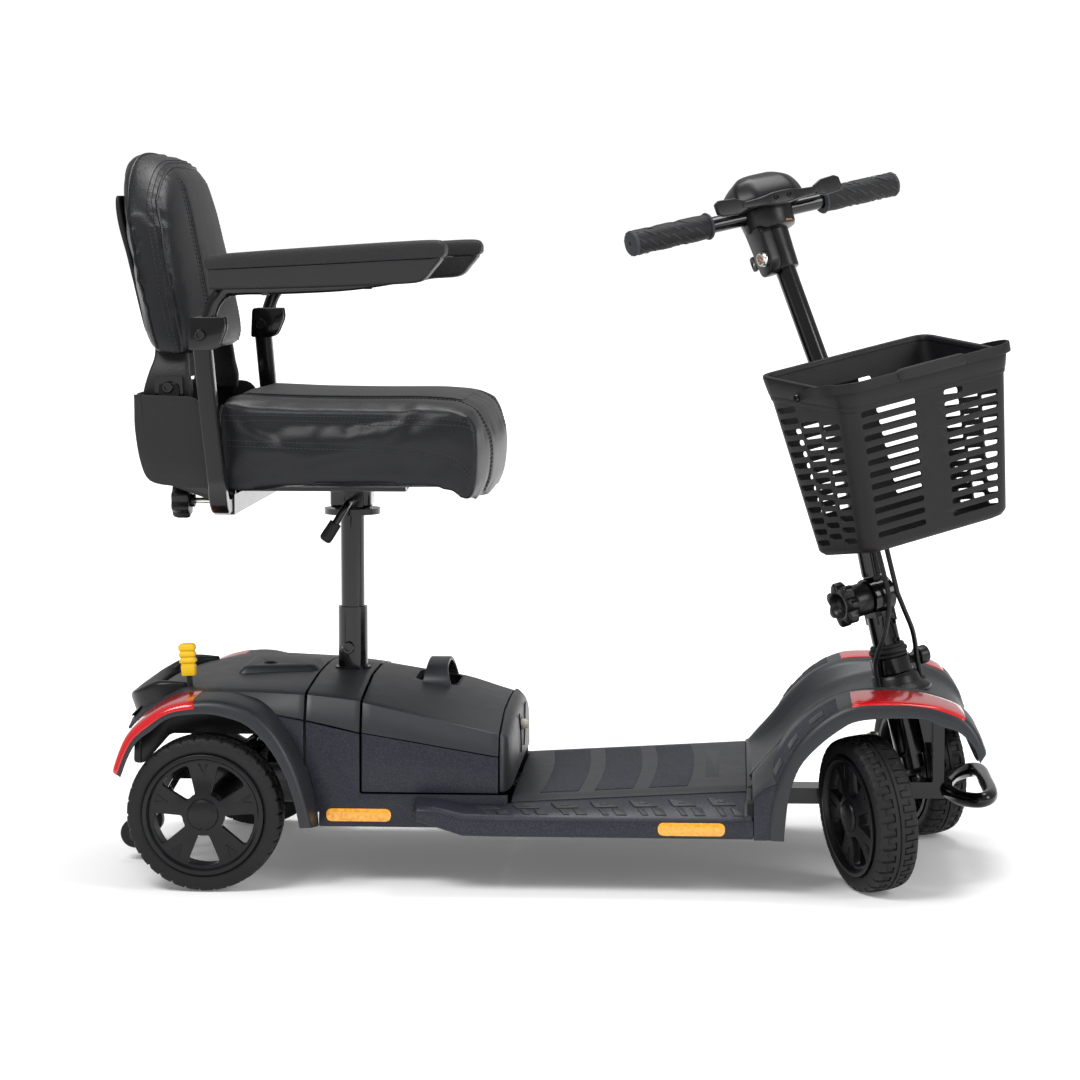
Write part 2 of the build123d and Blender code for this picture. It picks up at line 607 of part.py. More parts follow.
with BuildPart() as seat_post:
    rod((POST_X, 0, 112), (POST_X, 0, POST_FLANGE), POST_RADIUS)
    rod((POST_X, 0, POST_FLANGE - 8), (POST_X, 0, POST_FLANGE), 38)
    rod((POST_X, 0, POST_FLANGE), (POST_X, 0, POST_FLANGE + 20), 12)
save(seat_post, "seat_post")

RECEIVER_HALF = 13
BORE_HALF = 10.5
receiver = (ARM_STATION - RECEIVER_HALF, ARM_STATION + RECEIVER_HALF)
receiver_level = (ARM_LEVEL - RECEIVER_HALF, ARM_LEVEL + RECEIVER_HALF)
bore = (ARM_STATION - BORE_HALF, ARM_STATION + BORE_HALF)
bore_level = (ARM_LEVEL - BORE_HALF, ARM_LEVEL + BORE_HALF)
tube_low = ARM_LEVEL - ARM_TUBE / 2
tube_high = ARM_LEVEL + ARM_TUBE / 2
with BuildPart() as seat_base:
    rod((POST_X, 0, POST_FLANGE + BODY_GAP), (POST_X, 0, 510), 24)
    rod((POST_X, 0, POST_FLANGE), (POST_X, 0, POST_FLANGE + 21), 12 + RUNNING_GAP, Mode.SUBTRACT)
    block((14, 250), (-120, 120), (511, 519))
    block((160, 184), (-40, -30), (482, 512))
    block(receiver, (-214, 214), receiver_level)
    block(bore, (-215, 215), bore_level, Mode.SUBTRACT)
    for side in (-1, 1):
        plate = [(-66, 530), (12, 502), (38, 502), (38, 519), (-24, 536), (-30, 664), (-66, 664)]
        slab(plate, sorted((side * 201, side * 206)))
        block(bore, sorted((side * 199, side * 208)), bore_level, Mode.SUBTRACT)
        pin = (BACK_PIVOT[0], side * 200, BACK_PIVOT[1]), (BACK_PIVOT[0], side * 207, BACK_PIVOT[1])
        rod(*pin, 5 + RUNNING_GAP, Mode.SUBTRACT)
        rod((12, side * 150, ARM_LEVEL), (0, side * 150, ARM_LEVEL), 9)
        rod((13, side * 150, ARM_LEVEL), (-1, side * 150, ARM_LEVEL), 4 + RUNNING_GAP, Mode.SUBTRACT)
    rod((172, -29, 492), (172, -41, 492), 5 + RUNNING_GAP, Mode.SUBTRACT)
save(seat_base, "seat_base")

with BuildPart() as swivel_lever:
    rod((172, -28, 492), (172, -120, 492), 5)
    rod((172, -120, 492), (143, -120, 446), 5)
    with Locations((172, -120, 492)):
        Sphere(5)
    rod((152, -120, 460), (140, -120, 441), 9)
save(swivel_lever, "swivel_lever")

with BuildPart() as seat_shell:
    pan = [(-88, 548), (-62, 525), (-8, 519.5), (350, 519.5), (360, 525), (-8, 525), (-56, 532), (-82, 556),
           (-82, 641), (-88, 641)]
    slab(pan, (-SEAT_HALF, SEAT_HALF))
    for side in (-1, 1):
        block((-76, 40), sorted((side * 200.5, side * 206.5)), (500, 545), Mode.SUBTRACT)
save(seat_shell, "seat_shell")

with BuildPart() as seat_cushion:
    cushion = [(14, 525.5), (340, 525.5), (362, 560), (366, 602), (350, 620), (300, 627), (120, 628), (14, 634)]
    slab(cushion, (-SEAT_HALF - 2, SEAT_HALF + 2), corner=10)
save(seat_cushion, "seat_cushion")

with BuildPart() as backrest_shell:
    shell = [(-72, 652), (-64, 652), (-64, 692), (-114.5, 938), (-100, 958), (-106, 961), (-123, 940), (-72, 692)]
    slab(shell, (-BACK_HALF, BACK_HALF))
    for side in (-1, 1):
        leg = [(-72, 640), (-30, 640), (-30, 668), (-60, 700), (-72, 700)]
        slab(leg, sorted((side * 180, side * 198)))
        rod((BACK_PIVOT[0], side * 190, BACK_PIVOT[1]), (BACK_PIVOT[0], side * 209, BACK_PIVOT[1]), 5)
save(backrest_shell, "backrest_shell")

with BuildPart() as backrest_cushion:
    pad = [(-63, 692), (-20, 688), (-68, 940), (-84, 957), (-98.5, 956.8), (-113.2, 936.5)]
    slab(pad, (-PAD_HALF, PAD_HALF), corner=6)
    for side in (-1, 1):
        block((-75, -15), sorted((side * 179, side * 210)), (630, 701), Mode.SUBTRACT)
save(backrest_cushion, "backrest_cushion")

for side, name in ((-1, "right"), (1, "left")):
    with BuildPart() as arm_post:
        span = sorted((side * 70, side * (ARM_UPRIGHT + 11)))
        tube = (ARM_STATION - ARM_TUBE / 2, ARM_STATION + ARM_TUBE / 2)
        block(tube, span, (tube_low, tube_high))
        upright = [(12, tube_low), (37, tube_low), (18, 712), (-6, 712)]
        slab(upright, sorted((side * (ARM_UPRIGHT - 11), side * (ARM_UPRIGHT + 11))))
        for offset in (-1, 1):
            ear = sorted((side * ARM_UPRIGHT + offset * 8.2, side * ARM_UPRIGHT + offset * 12))
            slab([(-8, 700), (22, 700), (30, 735), (-6, 735)], ear)
        ends = (ARM_PIVOT[0], side * ARM_UPRIGHT - 13, ARM_PIVOT[1]), (ARM_PIVOT[0], side * ARM_UPRIGHT + 13, ARM_PIVOT[1])
        block((-10, 40), sorted((side * (ARM_UPRIGHT - 8.2), side * (ARM_UPRIGHT + 8.2))), (704, 740), Mode.SUBTRACT)
        rod(*ends, 4 + RUNNING_GAP, Mode.SUBTRACT)
    save(arm_post, f"arm_post_{name}")

    with BuildPart() as armrest:
        pivot = (ARM_PIVOT[0], side * ARM_UPRIGHT, ARM_PIVOT[1])
        rod((pivot[0], pivot[1] - 14, pivot[2]), (pivot[0], pivot[1] + 14, pivot[2]), 4)
        tube_half = (side * ARM_UPRIGHT - 7.9, side * ARM_UPRIGHT + 7.9)
        stem = [(-5, 710), (14, 710), (30, 745), (42, 792), (20, 792), (4, 745)]
        slab(stem, tube_half)
        pad = [(22, 786), (270, 790), (300, 795), (320, 828), (316, 843), (22, 823)]
        slab(pad, sorted((side * 255, side * 315)), corner=6)
    save(armrest, f"armrest_{name}")

    with BuildPart() as arm_knob:
        rod((-40, side * 150, ARM_LEVEL), (11, side * 150, ARM_LEVEL), 4)
        with BuildSketch(Plane.YZ.offset(-58)):
            with Locations((side * 150, ARM_LEVEL)):
                Circle(17.5)
                with PolarLocations(16, 7):
                    Circle(5)
        extrude(amount=20)
    save(arm_knob, f"arm_knob_{name}")
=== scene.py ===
"""Mobility scooter: the looks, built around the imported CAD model.

Every length is in metres. Outlines of the chassis give X from the rear axle, Y to the
scooter's left and Z from the ground; the tiller's outlines give X forward along the
tiller, Y left and Z up the steering axis.
"""

import json
import math

import bmesh
import bpy
from mathutils import Matrix, Vector


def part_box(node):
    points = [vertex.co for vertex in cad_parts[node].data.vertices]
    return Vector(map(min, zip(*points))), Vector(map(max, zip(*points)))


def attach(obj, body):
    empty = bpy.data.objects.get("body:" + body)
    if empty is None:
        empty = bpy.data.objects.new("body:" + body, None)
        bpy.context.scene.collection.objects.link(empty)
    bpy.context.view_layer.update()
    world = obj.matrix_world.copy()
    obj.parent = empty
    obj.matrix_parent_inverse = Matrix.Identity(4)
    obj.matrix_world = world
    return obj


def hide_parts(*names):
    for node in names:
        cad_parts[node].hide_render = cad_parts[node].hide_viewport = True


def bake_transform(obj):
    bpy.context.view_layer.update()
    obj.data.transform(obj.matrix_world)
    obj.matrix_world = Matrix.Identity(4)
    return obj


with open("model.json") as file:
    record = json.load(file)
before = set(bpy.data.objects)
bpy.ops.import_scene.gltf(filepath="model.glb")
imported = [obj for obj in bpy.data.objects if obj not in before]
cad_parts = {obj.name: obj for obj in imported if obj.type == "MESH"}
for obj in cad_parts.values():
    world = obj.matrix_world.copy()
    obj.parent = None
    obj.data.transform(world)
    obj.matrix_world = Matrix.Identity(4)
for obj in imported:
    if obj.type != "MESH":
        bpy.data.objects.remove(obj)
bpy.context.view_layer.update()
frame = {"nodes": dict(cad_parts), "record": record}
RECORD = frame["record"]
SIDES = ((-1, "right"), (1, "left"))

rim_low, rim_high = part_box("rear_rim_right")
REAR_AXLE_X = (rim_low[0] + rim_high[0]) / 2
tyre_low, tyre_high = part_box("rear_tyre_right")
TYRE_RADIUS = (tyre_high[2] - tyre_low[2]) / 2
TYRE_WIDTH = tyre_high[1] - tyre_low[1]
POST_X = 0.165

# ---------------------------------------------------------------- mesh helpers


def station(x, y, z):
    """A point given from the rear axle, in the row frame."""
    return Vector((x + REAR_AXLE_X, y, z))


def surface(rows, ring=False, caps=False):
    """Vertices and quads between rows of equally many points."""
    count = len(rows[0])
    verts = [Vector(p) for row in rows for p in row]
    faces = []
    for i in range(len(rows) - 1):
        for j in range(count if ring else count - 1):
            k = (j + 1) % count
            faces.append((i * count + j, i * count + k, (i + 1) * count + k, (i + 1) * count + j))
    if caps:
        last = (len(rows) - 1) * count
        faces.append(tuple(range(count - 1, -1, -1)))
        faces.append(tuple(last + j for j in range(count)))
    return verts, faces


def solid(rows):
    """A closed body through rings of points, with a flat cap at each end."""
    return surface(rows, ring=True, caps=True)


def joined(*shapes):
    """Several shapes as one list of vertices and faces."""
    verts, faces = [], []
    for more_verts, more_faces in shapes:
        start = len(verts)
        verts += more_verts
        faces += [tuple(start + i for i in face) for face in more_faces]
    return verts, faces


def moved(shape, matrix):
    return [matrix @ Vector(p) for p in shape[0]], shape[1]


def mirrored(shape):
    """The shape on the other side of the scooter's middle plane."""
    return [Vector((p[0], -p[1], p[2])) for p in shape[0]], [tuple(reversed(f)) for f in shape[1]]


def handed(shape, side):
    return mirrored(shape) if side < 0 else shape


def both(half):
    """A row from the middle plane to the left, with its mirror image ahead of it."""
    return [Vector((p.x, -p.y, p.z)) for p in half[:0:-1]] + half


def there_and_back(half):
    """Tuples that run to the middle plane, then their mirror image running back."""
    return [*half, *[(row[0], -row[1], *row[2:]) for row in half[-2::-1]]]


def at(x, y, z):
    return Matrix.Translation((x, y, z))


def spline(points, per_span=6):
    """A Catmull-Rom curve through the points."""
    pts = [Vector(p) for p in points]
    ends = [pts[0] * 2 - pts[1]] + pts + [pts[-1] * 2 - pts[-2]]
    curve = []
    for i in range(1, len(ends) - 2):
        before, a, b, after = ends[i - 1 : i + 3]
        for step in range(per_span):
            t = step / per_span
            curve.append(
                0.5
                * (
                    2 * a
                    + (b - before) * t
                    + (2 * before - 5 * a + 4 * b - after) * t * t
                    + (3 * a - before - 3 * b + after) * t**3
                )
            )
    curve.append(pts[-1])
    return curve


def rounded(points, radius, steps=4):
    """A closed 2-D outline with its corners rounded; radius is one value or one for each corner."""
    count = len(points)
    radii = radius if isinstance(radius, (list, tuple)) else [radius] * count
    outline = []
    for i, corner in enumerate(points):
        here = Vector(corner)
        back = Vector(points[i - 1]) - here
        ahead = Vector(points[(i + 1) % count]) - here
        reach = min(radii[i], back.length * 0.49, ahead.length * 0.49)
        if reach < 1e-6:
            outline.append(here)
            continue
        start = here + back.normalized() * reach
        end = here + ahead.normalized() * reach
        for step in range(steps + 1):
            t = step / steps
            outline.append(start * (1 - t) ** 2 + here * 2 * t * (1 - t) + end * t * t)
    return outline


def rectangle(width, height, radius, centre=(0, 0), steps=4):
    x, y = centre
    w, h = width / 2, height / 2
    return rounded([(x - w, y - h), (x + w, y - h), (x + w, y + h), (x - w, y + h)], radius, steps)


def polar(radius, angle):
    return radius * math.cos(angle), radius * math.sin(angle)


def circle(radius, count=24, centre=(0, 0)):
    turns = [math.tau * i / count for i in range(count)]
    return [Vector((centre[0] + radius * math.cos(a), centre[1] + radius * math.sin(a))) for a in turns]


def prism(outline, low, high, axis="Y"):
    """A 2-D outline drawn out between two levels of an axis."""
    place = {
        "X": lambda p, level: (level, p[0], p[1]),
        "Y": lambda p, level: (p[0], level, p[1]),
        "Z": lambda p, level: (p[0], p[1], level),
    }[axis]
    return solid([[place(p, level) for p in outline] for level in (low, high)])


def block(outline, low, high):
    """A side outline in X from the rear axle and Z, drawn out between two levels of Y."""
    return prism([station(x, 0, z).xz for x, z in outline], low, high)


def lathe(profile, count=64):
    """(radius, height) points turned about local Z."""
    rows = []
    for radius, height in profile:
        radius = max(radius, 1e-5)
        rows.append([(*polar(radius, math.tau * i / count), height) for i in range(count)])
    return solid(rows)


def ring_of(profile, count=64):
    """A closed (radius, height) outline turned about local Z."""
    rows = []
    for i in range(count + 1):
        a = math.tau * i / count
        rows.append([(*polar(r, a), h) for r, h in profile])
    return surface(rows, ring=True)


def sweep(path, section, scale=None, up=(0, 0, 1), caps=True):
    """A 2-D section carried along a path without twisting; section X lies sideways, Y up."""
    path = [Vector(p) for p in path]
    rows = []
    across = None
    for i, point in enumerate(path):
        ahead = (path[min(i + 1, len(path) - 1)] - path[max(i - 1, 0)]).normalized()
        if across is None:
            across = ahead.cross(Vector(up))
            if across.length < 1e-4:
                across = ahead.cross(Vector((0, 1, 0)))
        across = (across - ahead * across.dot(ahead)).normalized()
        rise = across.cross(ahead)
        size = scale[i] if scale else 1
        rows.append([point + across * p[0] * size + rise * p[1] * size for p in section])
    return surface(rows, ring=True, caps=caps)


def tube(path, radius, count=16, scale=None):
    return sweep(path, circle(radius, count), scale)


def bolt(point, direction, radius, height=0.004, socket=0.5):
    """A round screw head with a hexagon socket."""
    r, h = radius, height
    head = lathe([(r, 0), (r, h * 0.6), (r * 0.86, h), (r * socket, h)], 20)[0]
    rows = [head[i * 20 : i * 20 + 20] for i in range(4)]
    hexagon = []
    for level in (h, h * 0.35):
        row = []
        for i in range(20):
            a = math.tau * i / 20
            reach = r * socket * 0.94 / math.cos((a % (math.tau / 6)) - math.tau / 12)
            row.append(Vector((*polar(reach, a), level)))
        hexagon.append(row)
    shape = solid(rows + hexagon)
    turn = Vector((0, 0, 1)).rotation_difference(Vector(direction)).to_matrix().to_4x4()
    return moved(shape, Matrix.Translation(Vector(point)) @ turn)


def modifier(obj, kind, **settings):
    mod = obj.modifiers.new(kind.title(), kind)
    for key, value in settings.items():
        setattr(mod, key, value)
    return mod


def settle(obj, angle=38):
    """Applies the object's modifiers and shades it smooth up to that angle between faces."""
    graph = bpy.context.evaluated_depsgraph_get()
    mesh = bpy.data.meshes.new_from_object(obj.evaluated_get(graph))
    obj.modifiers.clear()
    spare = obj.data
    obj.data = mesh
    bpy.data.meshes.remove(spare)
    mesh.polygons.foreach_set("use_smooth", [True] * len(mesh.polygons))
    mesh.set_sharp_from_angle(angle=math.radians(angle))
    return obj


def blank(name, shape):
    """A plain mesh object with outward normals."""
    mesh = bpy.data.meshes.new(name)
    mesh.from_pydata([tuple(p) for p in shape[0]], [], shape[1])
    mesh.validate()
    work = bmesh.new()
    work.from_mesh(mesh)
    bmesh.ops.remove_doubles(work, verts=work.verts, dist=1e-6)
    bmesh.ops.recalc_face_normals(work, faces=work.faces)
    work.to_mesh(mesh)
    work.free()
    obj = bpy.data.objects.new(name, mesh)
    bpy.context.scene.collection.objects.link(obj)
    return obj


def cut(obj, shape):
    """Takes a closed shape out of the object."""
    tool = blank("cutter", shape)
    modifier(obj, "BOOLEAN", operation="DIFFERENCE", object=tool, solver="EXACT", use_self=True)
    settle(obj)
    bpy.data.objects.remove(tool)


def piece(name, shape, material, body, slot, place=None, thick=0, bevel=0, cuts=None, levels=0, segments=2,
        replaces=(), angle=38):
    """A finished piece of the visual model, riding on a CAD body."""
    obj = blank(name, moved(shape, place) if place else shape)
    if thick:
        modifier(obj, "SOLIDIFY", thickness=thick, offset=0)
        settle(obj, angle)
    if cuts:
        cut(obj, moved(cuts, place) if place else cuts)
    if bevel:
        modifier(obj, "BEVEL", width=bevel, segments=segments, limit_method="ANGLE",
            angle_limit=math.radians(32))
    if levels:
        modifier(obj, "SUBSURF", levels=levels, render_levels=levels)
    settle(obj, angle)
    obj.data.materials.clear()
    obj.data.materials.append(material)
    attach(obj, body)
    if replaces:
        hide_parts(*replaces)
    return obj


# ---------------------------------------------------------------- materials


def material(name, color, roughness, metallic=0.0, grain=0.002, bump=0.0001, mottle=0.06, spread=0.05,
        voronoi=False, fleck=None, coat=0.0, specular=0.28, patch=0.06, transmission=0.0, stripes=0.0):
    """A moulded, painted or woven finish. grain is the size of its texture and bump its height, in metres."""
    mat = bpy.data.materials.new(name)
    mat.use_nodes = True
    nodes, links = mat.node_tree.nodes, mat.node_tree.links
    shader = nodes["Principled BSDF"]
    settings = {"Metallic": metallic, "Coat Weight": coat, "Coat Roughness": 0.08,
        "Specular IOR Level": specular, "Transmission Weight": transmission}
    for socket, value in settings.items():
        shader.inputs[socket].default_value = value
    coords = nodes.new("ShaderNodeTexCoord").outputs["Object"]

    def ramp(factor, stops):
        node = nodes.new("ShaderNodeValToRGB")
        while len(node.color_ramp.elements) < len(stops):
            node.color_ramp.elements.new(0.5)
        for element, (position, value) in zip(node.color_ramp.elements, stops):
            element.position = position
            element.color = (*value, 1)
        links.new(factor, node.inputs["Fac"])
        return node.outputs["Color"]

    def noise_of(size, detail=3.0):
        node = nodes.new("ShaderNodeTexNoise")
        node.inputs["Scale"].default_value = 1 / size
        node.inputs["Detail"].default_value = detail
        links.new(coords, node.inputs["Vector"])
        return node.outputs["Fac"]

    def mix(factor, a, b):
        node = nodes.new("ShaderNodeMix")
        node.data_type = "RGBA"
        links.new(factor, node.inputs["Factor"])
        for socket, value in ((node.inputs[6], a), (node.inputs[7], b)):
            if isinstance(value, tuple):
                socket.default_value = (*value, 1)
            else:
                links.new(value, socket)
        return node.outputs[2]

    broad = noise_of(patch)
    dark = tuple(c * (1 - mottle) for c in color)
    light = tuple(min(c * (1 + mottle), 1) for c in color)
    shade = ramp(broad, [(0.3, dark), (0.7, light)])
    if fleck:
        cells = nodes.new("ShaderNodeTexVoronoi")
        cells.inputs["Scale"].default_value = 1 / 0.0008
        links.new(coords, cells.inputs["Vector"])
        pick = ramp(cells.outputs["Color"], [(0.62, (0, 0, 0)), (0.8, (1, 1, 1))])
        shade = mix(pick, shade, fleck)
    if stripes:
        wave = nodes.new("ShaderNodeTexWave")
        wave.bands_direction = "Y"
        wave.inputs["Scale"].default_value = 1 / (stripes * 3.2)
        wave.inputs["Distortion"].default_value = 0.4
        wave.inputs["Detail Scale"].default_value = 60
        links.new(coords, wave.inputs["Vector"])
        lines = ramp(wave.outputs["Fac"], [(0.35, (0, 0, 0)), (0.75, (1, 1, 1))])
        shade = mix(lines, shade, tuple(c * 0.45 for c in color))
    links.new(shade, shader.inputs["Base Color"])
    rough = nodes.new("ShaderNodeMapRange")
    rough.inputs["To Min"].default_value = max(roughness - spread, 0.02)
    rough.inputs["To Max"].default_value = min(roughness + spread, 1)
    links.new(noise_of(patch * 0.4), rough.inputs["Value"])
    links.new(rough.outputs["Result"], shader.inputs["Roughness"])
    if bump:
        if voronoi:
            cells = nodes.new("ShaderNodeTexVoronoi")
            cells.inputs["Scale"].default_value = 1 / grain
            links.new(coords, cells.inputs["Vector"])
            height = cells.outputs["Distance"]
        else:
            height = noise_of(grain, 5.0)
        relief = nodes.new("ShaderNodeBump")
        relief.inputs["Distance"].default_value = bump
        relief.inputs["Strength"].default_value = 0.9
        links.new(height, relief.inputs["Height"])
        links.new(relief.outputs["Normal"], shader.inputs["Normal"])
    return mat


CHARCOAL = material("charcoal", (0.019, 0.02, 0.023), 0.4, grain=0.0011, bump=0.00006, mottle=0.05,
    specular=0.35)
DECK = material("deck_plastic", (0.02, 0.021, 0.024), 0.46, grain=0.0009, bump=0.0001, mottle=0.06)
FLECK = material("fleck", (0.013, 0.014, 0.021), 0.4, grain=0.0012, bump=0.00007, fleck=(0.032, 0.034, 0.048))
GRIT = material("grit", (0.014, 0.015, 0.02), 0.75, grain=0.0012, bump=0.0006, fleck=(0.055, 0.059, 0.078))
BLACK = material("black_plastic", (0.005, 0.005, 0.006), 0.34, grain=0.0012, bump=0.00007)
SOFT_BLACK = material("soft_black", (0.006, 0.006, 0.007), 0.5, grain=0.0008, bump=0.00009, specular=0.22)
SHELL = material("pebble_shell", (0.009, 0.009, 0.01), 0.48, grain=0.0017, bump=0.00022, voronoi=True)
RED = material("red_gloss", (0.5, 0.004, 0.008), 0.16, grain=0.01, bump=0.00002, mottle=0.04, coat=0.5,
    specular=0.4)
TYRE = material("tyre_rubber", (0.008, 0.008, 0.009), 0.58, grain=0.0015, bump=0.00012, mottle=0.18)
RUBBER = material("grip_rubber", (0.008, 0.008, 0.009), 0.62, grain=0.0009, bump=0.00012)
GRIP_GREY = material("grip_grey", (0.03, 0.032, 0.036), 0.6, grain=0.0009, bump=0.0001)
RIM = material("rim_plastic", (0.006, 0.006, 0.007), 0.34, grain=0.001, bump=0.00008)
STEEL = material("black_gloss_steel", (0.003, 0.003, 0.0035), 0.2, grain=0.004, bump=0.00005, coat=0.35,
    mottle=0.1, specular=0.2)
BRIGHT = material("bright_steel", (0.56, 0.55, 0.52), 0.3, metallic=1.0, grain=0.0015, bump=0.00006,
    mottle=0.1)
SILVER = material("silver_tube", (0.5, 0.5, 0.51), 0.38, metallic=0.9, grain=0.0012, bump=0.00005)
CAST = material("cast_metal", (0.1, 0.1, 0.105), 0.45, metallic=0.9, grain=0.0016, bump=0.00025, mottle=0.15)
VINYL = material("vinyl", (0.0065, 0.0068, 0.008), 0.38, grain=0.0016, bump=0.00018, voronoi=True,
    specular=0.24)
PANEL = material("vinyl_panel", (0.019, 0.0195, 0.021), 0.46, grain=0.0016, bump=0.0002, voronoi=True,
    stripes=0.0042)
THREAD = material("thread", (0.022, 0.022, 0.024), 0.7, grain=0.0008, bump=0.0002)
PAD = material("armrest_foam", (0.008, 0.008, 0.009), 0.6, grain=0.0013, bump=0.0004, voronoi=True)
YELLOW = material("yellow_plastic", (0.72, 0.45, 0.01), 0.42, grain=0.0012, bump=0.0001, mottle=0.06)
AMBER = material("amber_lens", (0.78, 0.33, 0.004), 0.22, grain=0.0042, bump=0.0007, voronoi=True, coat=1.0,
    mottle=0.22, patch=0.004, specular=0.5)
COPPER = material("copper_contact", (0.55, 0.26, 0.14), 0.35, metallic=0.8, grain=0.001, bump=0.0001)
CLEAR = material("clear_boot", (0.72, 0.68, 0.58), 0.28, grain=0.002, bump=0.0001, transmission=0.35,
    mottle=0.08)
CABLE = material("cable_rubber", (0.005, 0.005, 0.006), 0.38, grain=0.002, bump=0.00008)

# ---------------------------------------------------------------- wheels

JOINTS = {joint["name"]: joint for joint in RECORD["behaviour"]["joints"]}
RIM_FACE = 0.03


def tread_depth(turn, across):
    """How deep the tread is cut: turn is the place along one pitch, across runs from -1 to 1."""
    if across > 0:
        turn = (turn + 0.5) % 1
    wide = abs(across)
    if wide < 0.045:
        return 0.0016
    if 0.02 <= turn <= 0.13 and wide > 0.22:
        return 0.0022
    if 0.5 <= turn <= 0.6 and 0.22 < wide < 0.62:
        return 0.0022
    if 0.22 <= wide <= 0.29 and 0.02 <= turn <= 0.6:
        return 0.0022
    if 0.6 <= wide <= 0.67 and 0.5 <= turn:
        return 0.0022
    return 0.0


def tyre_shape():
    pitches = 34
    turns = [0, 0.0199, 0.0201, 0.075, 0.1299, 0.1301, 0.3, 0.4999, 0.5001, 0.55, 0.6001, 0.6003, 0.8]
    half = TYRE_WIDTH / 2
    wall = [(0.0765, 0.8), (0.078, 0.9), (0.083, 0.975), (0.089, 1.0), (0.0935, 0.985), (0.0962, 0.95)]
    crown = [0.9, 0.8, 0.68, 0.669, 0.6, 0.589, 0.45, 0.3, 0.289, 0.22, 0.209, 0.1, 0.046, 0.04]
    profile = [(r, -a) for r, a in wall]
    for across in [-a for a in crown] + [0.0] + crown[::-1]:
        profile.append((0.0975 + (TYRE_RADIUS - 0.0975) * (1 - abs(across) ** 3.2), across))
    profile += [(r, a) for r, a in wall[::-1]]
    rows = []
    for pitch in range(pitches):
        for turn in turns:
            angle = math.tau * (pitch + turn) / pitches
            row = []
            for radius, across in profile:
                depth = tread_depth(turn, across * 1.04) if radius > 0.0955 else 0
                if 0.0925 < radius <= 0.0965 and (turn < 0.13 or 0.5 < turn < 0.6):
                    depth = 0.0014
                r = radius - depth
                row.append((*polar(r, angle), across * half))
            rows.append(row)
    rows.append(rows[0])
    return surface(rows)


def rim_window(centre):
    """One opening of the wheel face, between two spokes, about an angle."""
    outline = []
    for angle in (-19, -10, 0, 10, 19):
        a = centre + math.radians(angle)
        outline.append(polar(0.0668, a))
    for angle in (15, 0, -15):
        a = centre + math.radians(angle)
        outline.append(polar(0.0275, a))
    radii = [0.007, 0, 0, 0, 0.007, 0.003, 0, 0.003]
    return prism(rounded(outline, radii), -0.01, 0.06, "Z")


def rim_shape():
    barrel = [(0.0785, 0.0262), (0.0785, 0.0292), (0.077, RIM_FACE), (0.0735, RIM_FACE), (0.0722, 0.0285),
        (0.0702, 0.0225), (0.0702, -0.0225), (0.073, -0.0275), (0.0785, -0.0275), (0.0785, -0.0235),
        (0.0745, -0.0205), (0.0745, 0.0205)]
    return ring_of(barrel, 96)


def wheel_face():
    front = [(0.0712, 0.0235), (0.066, 0.0228), (0.05, 0.0222), (0.033, 0.024), (0.027, 0.0262),
        (0.0, 0.0262)]
    back = [(0.0, 0.011), (0.027, 0.011), (0.033, 0.013), (0.06, 0.013), (0.0712, 0.014)]
    return lathe(front[::-1] + back[::-1], 96)


def build_wheel(end, hand, outward, phase):
    """One wheel from its tyre to its hub bolts, on the axis of its joint."""
    name, joint = f"{end}_{hand}", f"{end}_wheel_{hand}_spin"
    spot = Vector(JOINTS[joint]["pos_m"])
    axis = Vector(JOINTS[joint]["axis"])
    if axis.y * outward < 0:
        axis = -axis
    body = JOINTS[joint]["child"]
    up = (Vector((0, 0, 1)) - axis * axis.z).normalized()
    turn = Matrix((up, axis.cross(up), axis)).transposed().to_4x4()
    rest = Matrix.Translation(spot) @ turn
    place = rest @ Matrix.Rotation(math.radians(phase), 4, "Z")
    piece(f"tyre_{name}", tyre_shape(), TYRE, body, "tyre", place, replaces=[f"{end}_tyre_{hand}"], angle=50)
    piece(f"rim_{name}", rim_shape(), RIM, body, "rim", place, replaces=[f"{end}_rim_{hand}"])
    windows = joined(*[rim_window(math.tau * (i + 0.5) / 5) for i in range(5)])
    piece(f"wheel_face_{name}", wheel_face(), RIM, body, "rim", place, bevel=0.0012, cuts=windows, angle=30)
    vees = []
    for i in range(5):
        spin = Matrix.Rotation(math.tau * i / 5, 4, "Z")
        tip = [(0.048, 0), (0.0655, 0.0066), (0.0655, 0.0036), (0.0545, 0), (0.0655, -0.0036),
            (0.0655, -0.0066)]
        vees.append(moved(prism(tip, 0.0215, 0.0236, "Z"), spin))
    piece(f"spoke_marks_{name}", joined(*vees), RIM, body, "rim", place, bevel=0.0004)
    dome = [(0.02, 0.0245), (0.0205, 0.0275), (0.019, 0.0295), (0.014, 0.031), (0.007, 0.0317), (0, 0.0319)]
    notch = prism(rectangle(0.005, 0.006, 0.001, (-0.0195, 0)), 0.027, 0.04, "Z")
    piece(f"hub_cap_{name}", lathe([(0, 0.0245)] + dome, 48), RIM, body, "rim", place, cuts=notch,
        bevel=0.0004)
    hub = [(0.0, -0.02), (0.014, -0.02), (0.016, -0.018), (0.016, -0.004), (0.024, 0.002), (0.026, 0.0115),
        (0, 0.0115)]
    piece(f"wheel_hub_{name}", lathe(hub, 40), RIM, body, "rim", place)
    nuts = joined(*[bolt((*polar(0.0205, a), 0.0025), (0, 0, -1), 0.0035)
        for a in [math.tau * i / 4 for i in range(4)]])
    piece(f"hub_bolts_{name}", nuts, BRIGHT, body, "bare_steel", place)


for side, hand in SIDES:
    build_wheel("rear", hand, side, 0)
    build_wheel("front", hand, side, 14)

# ---------------------------------------------------------------- fenders

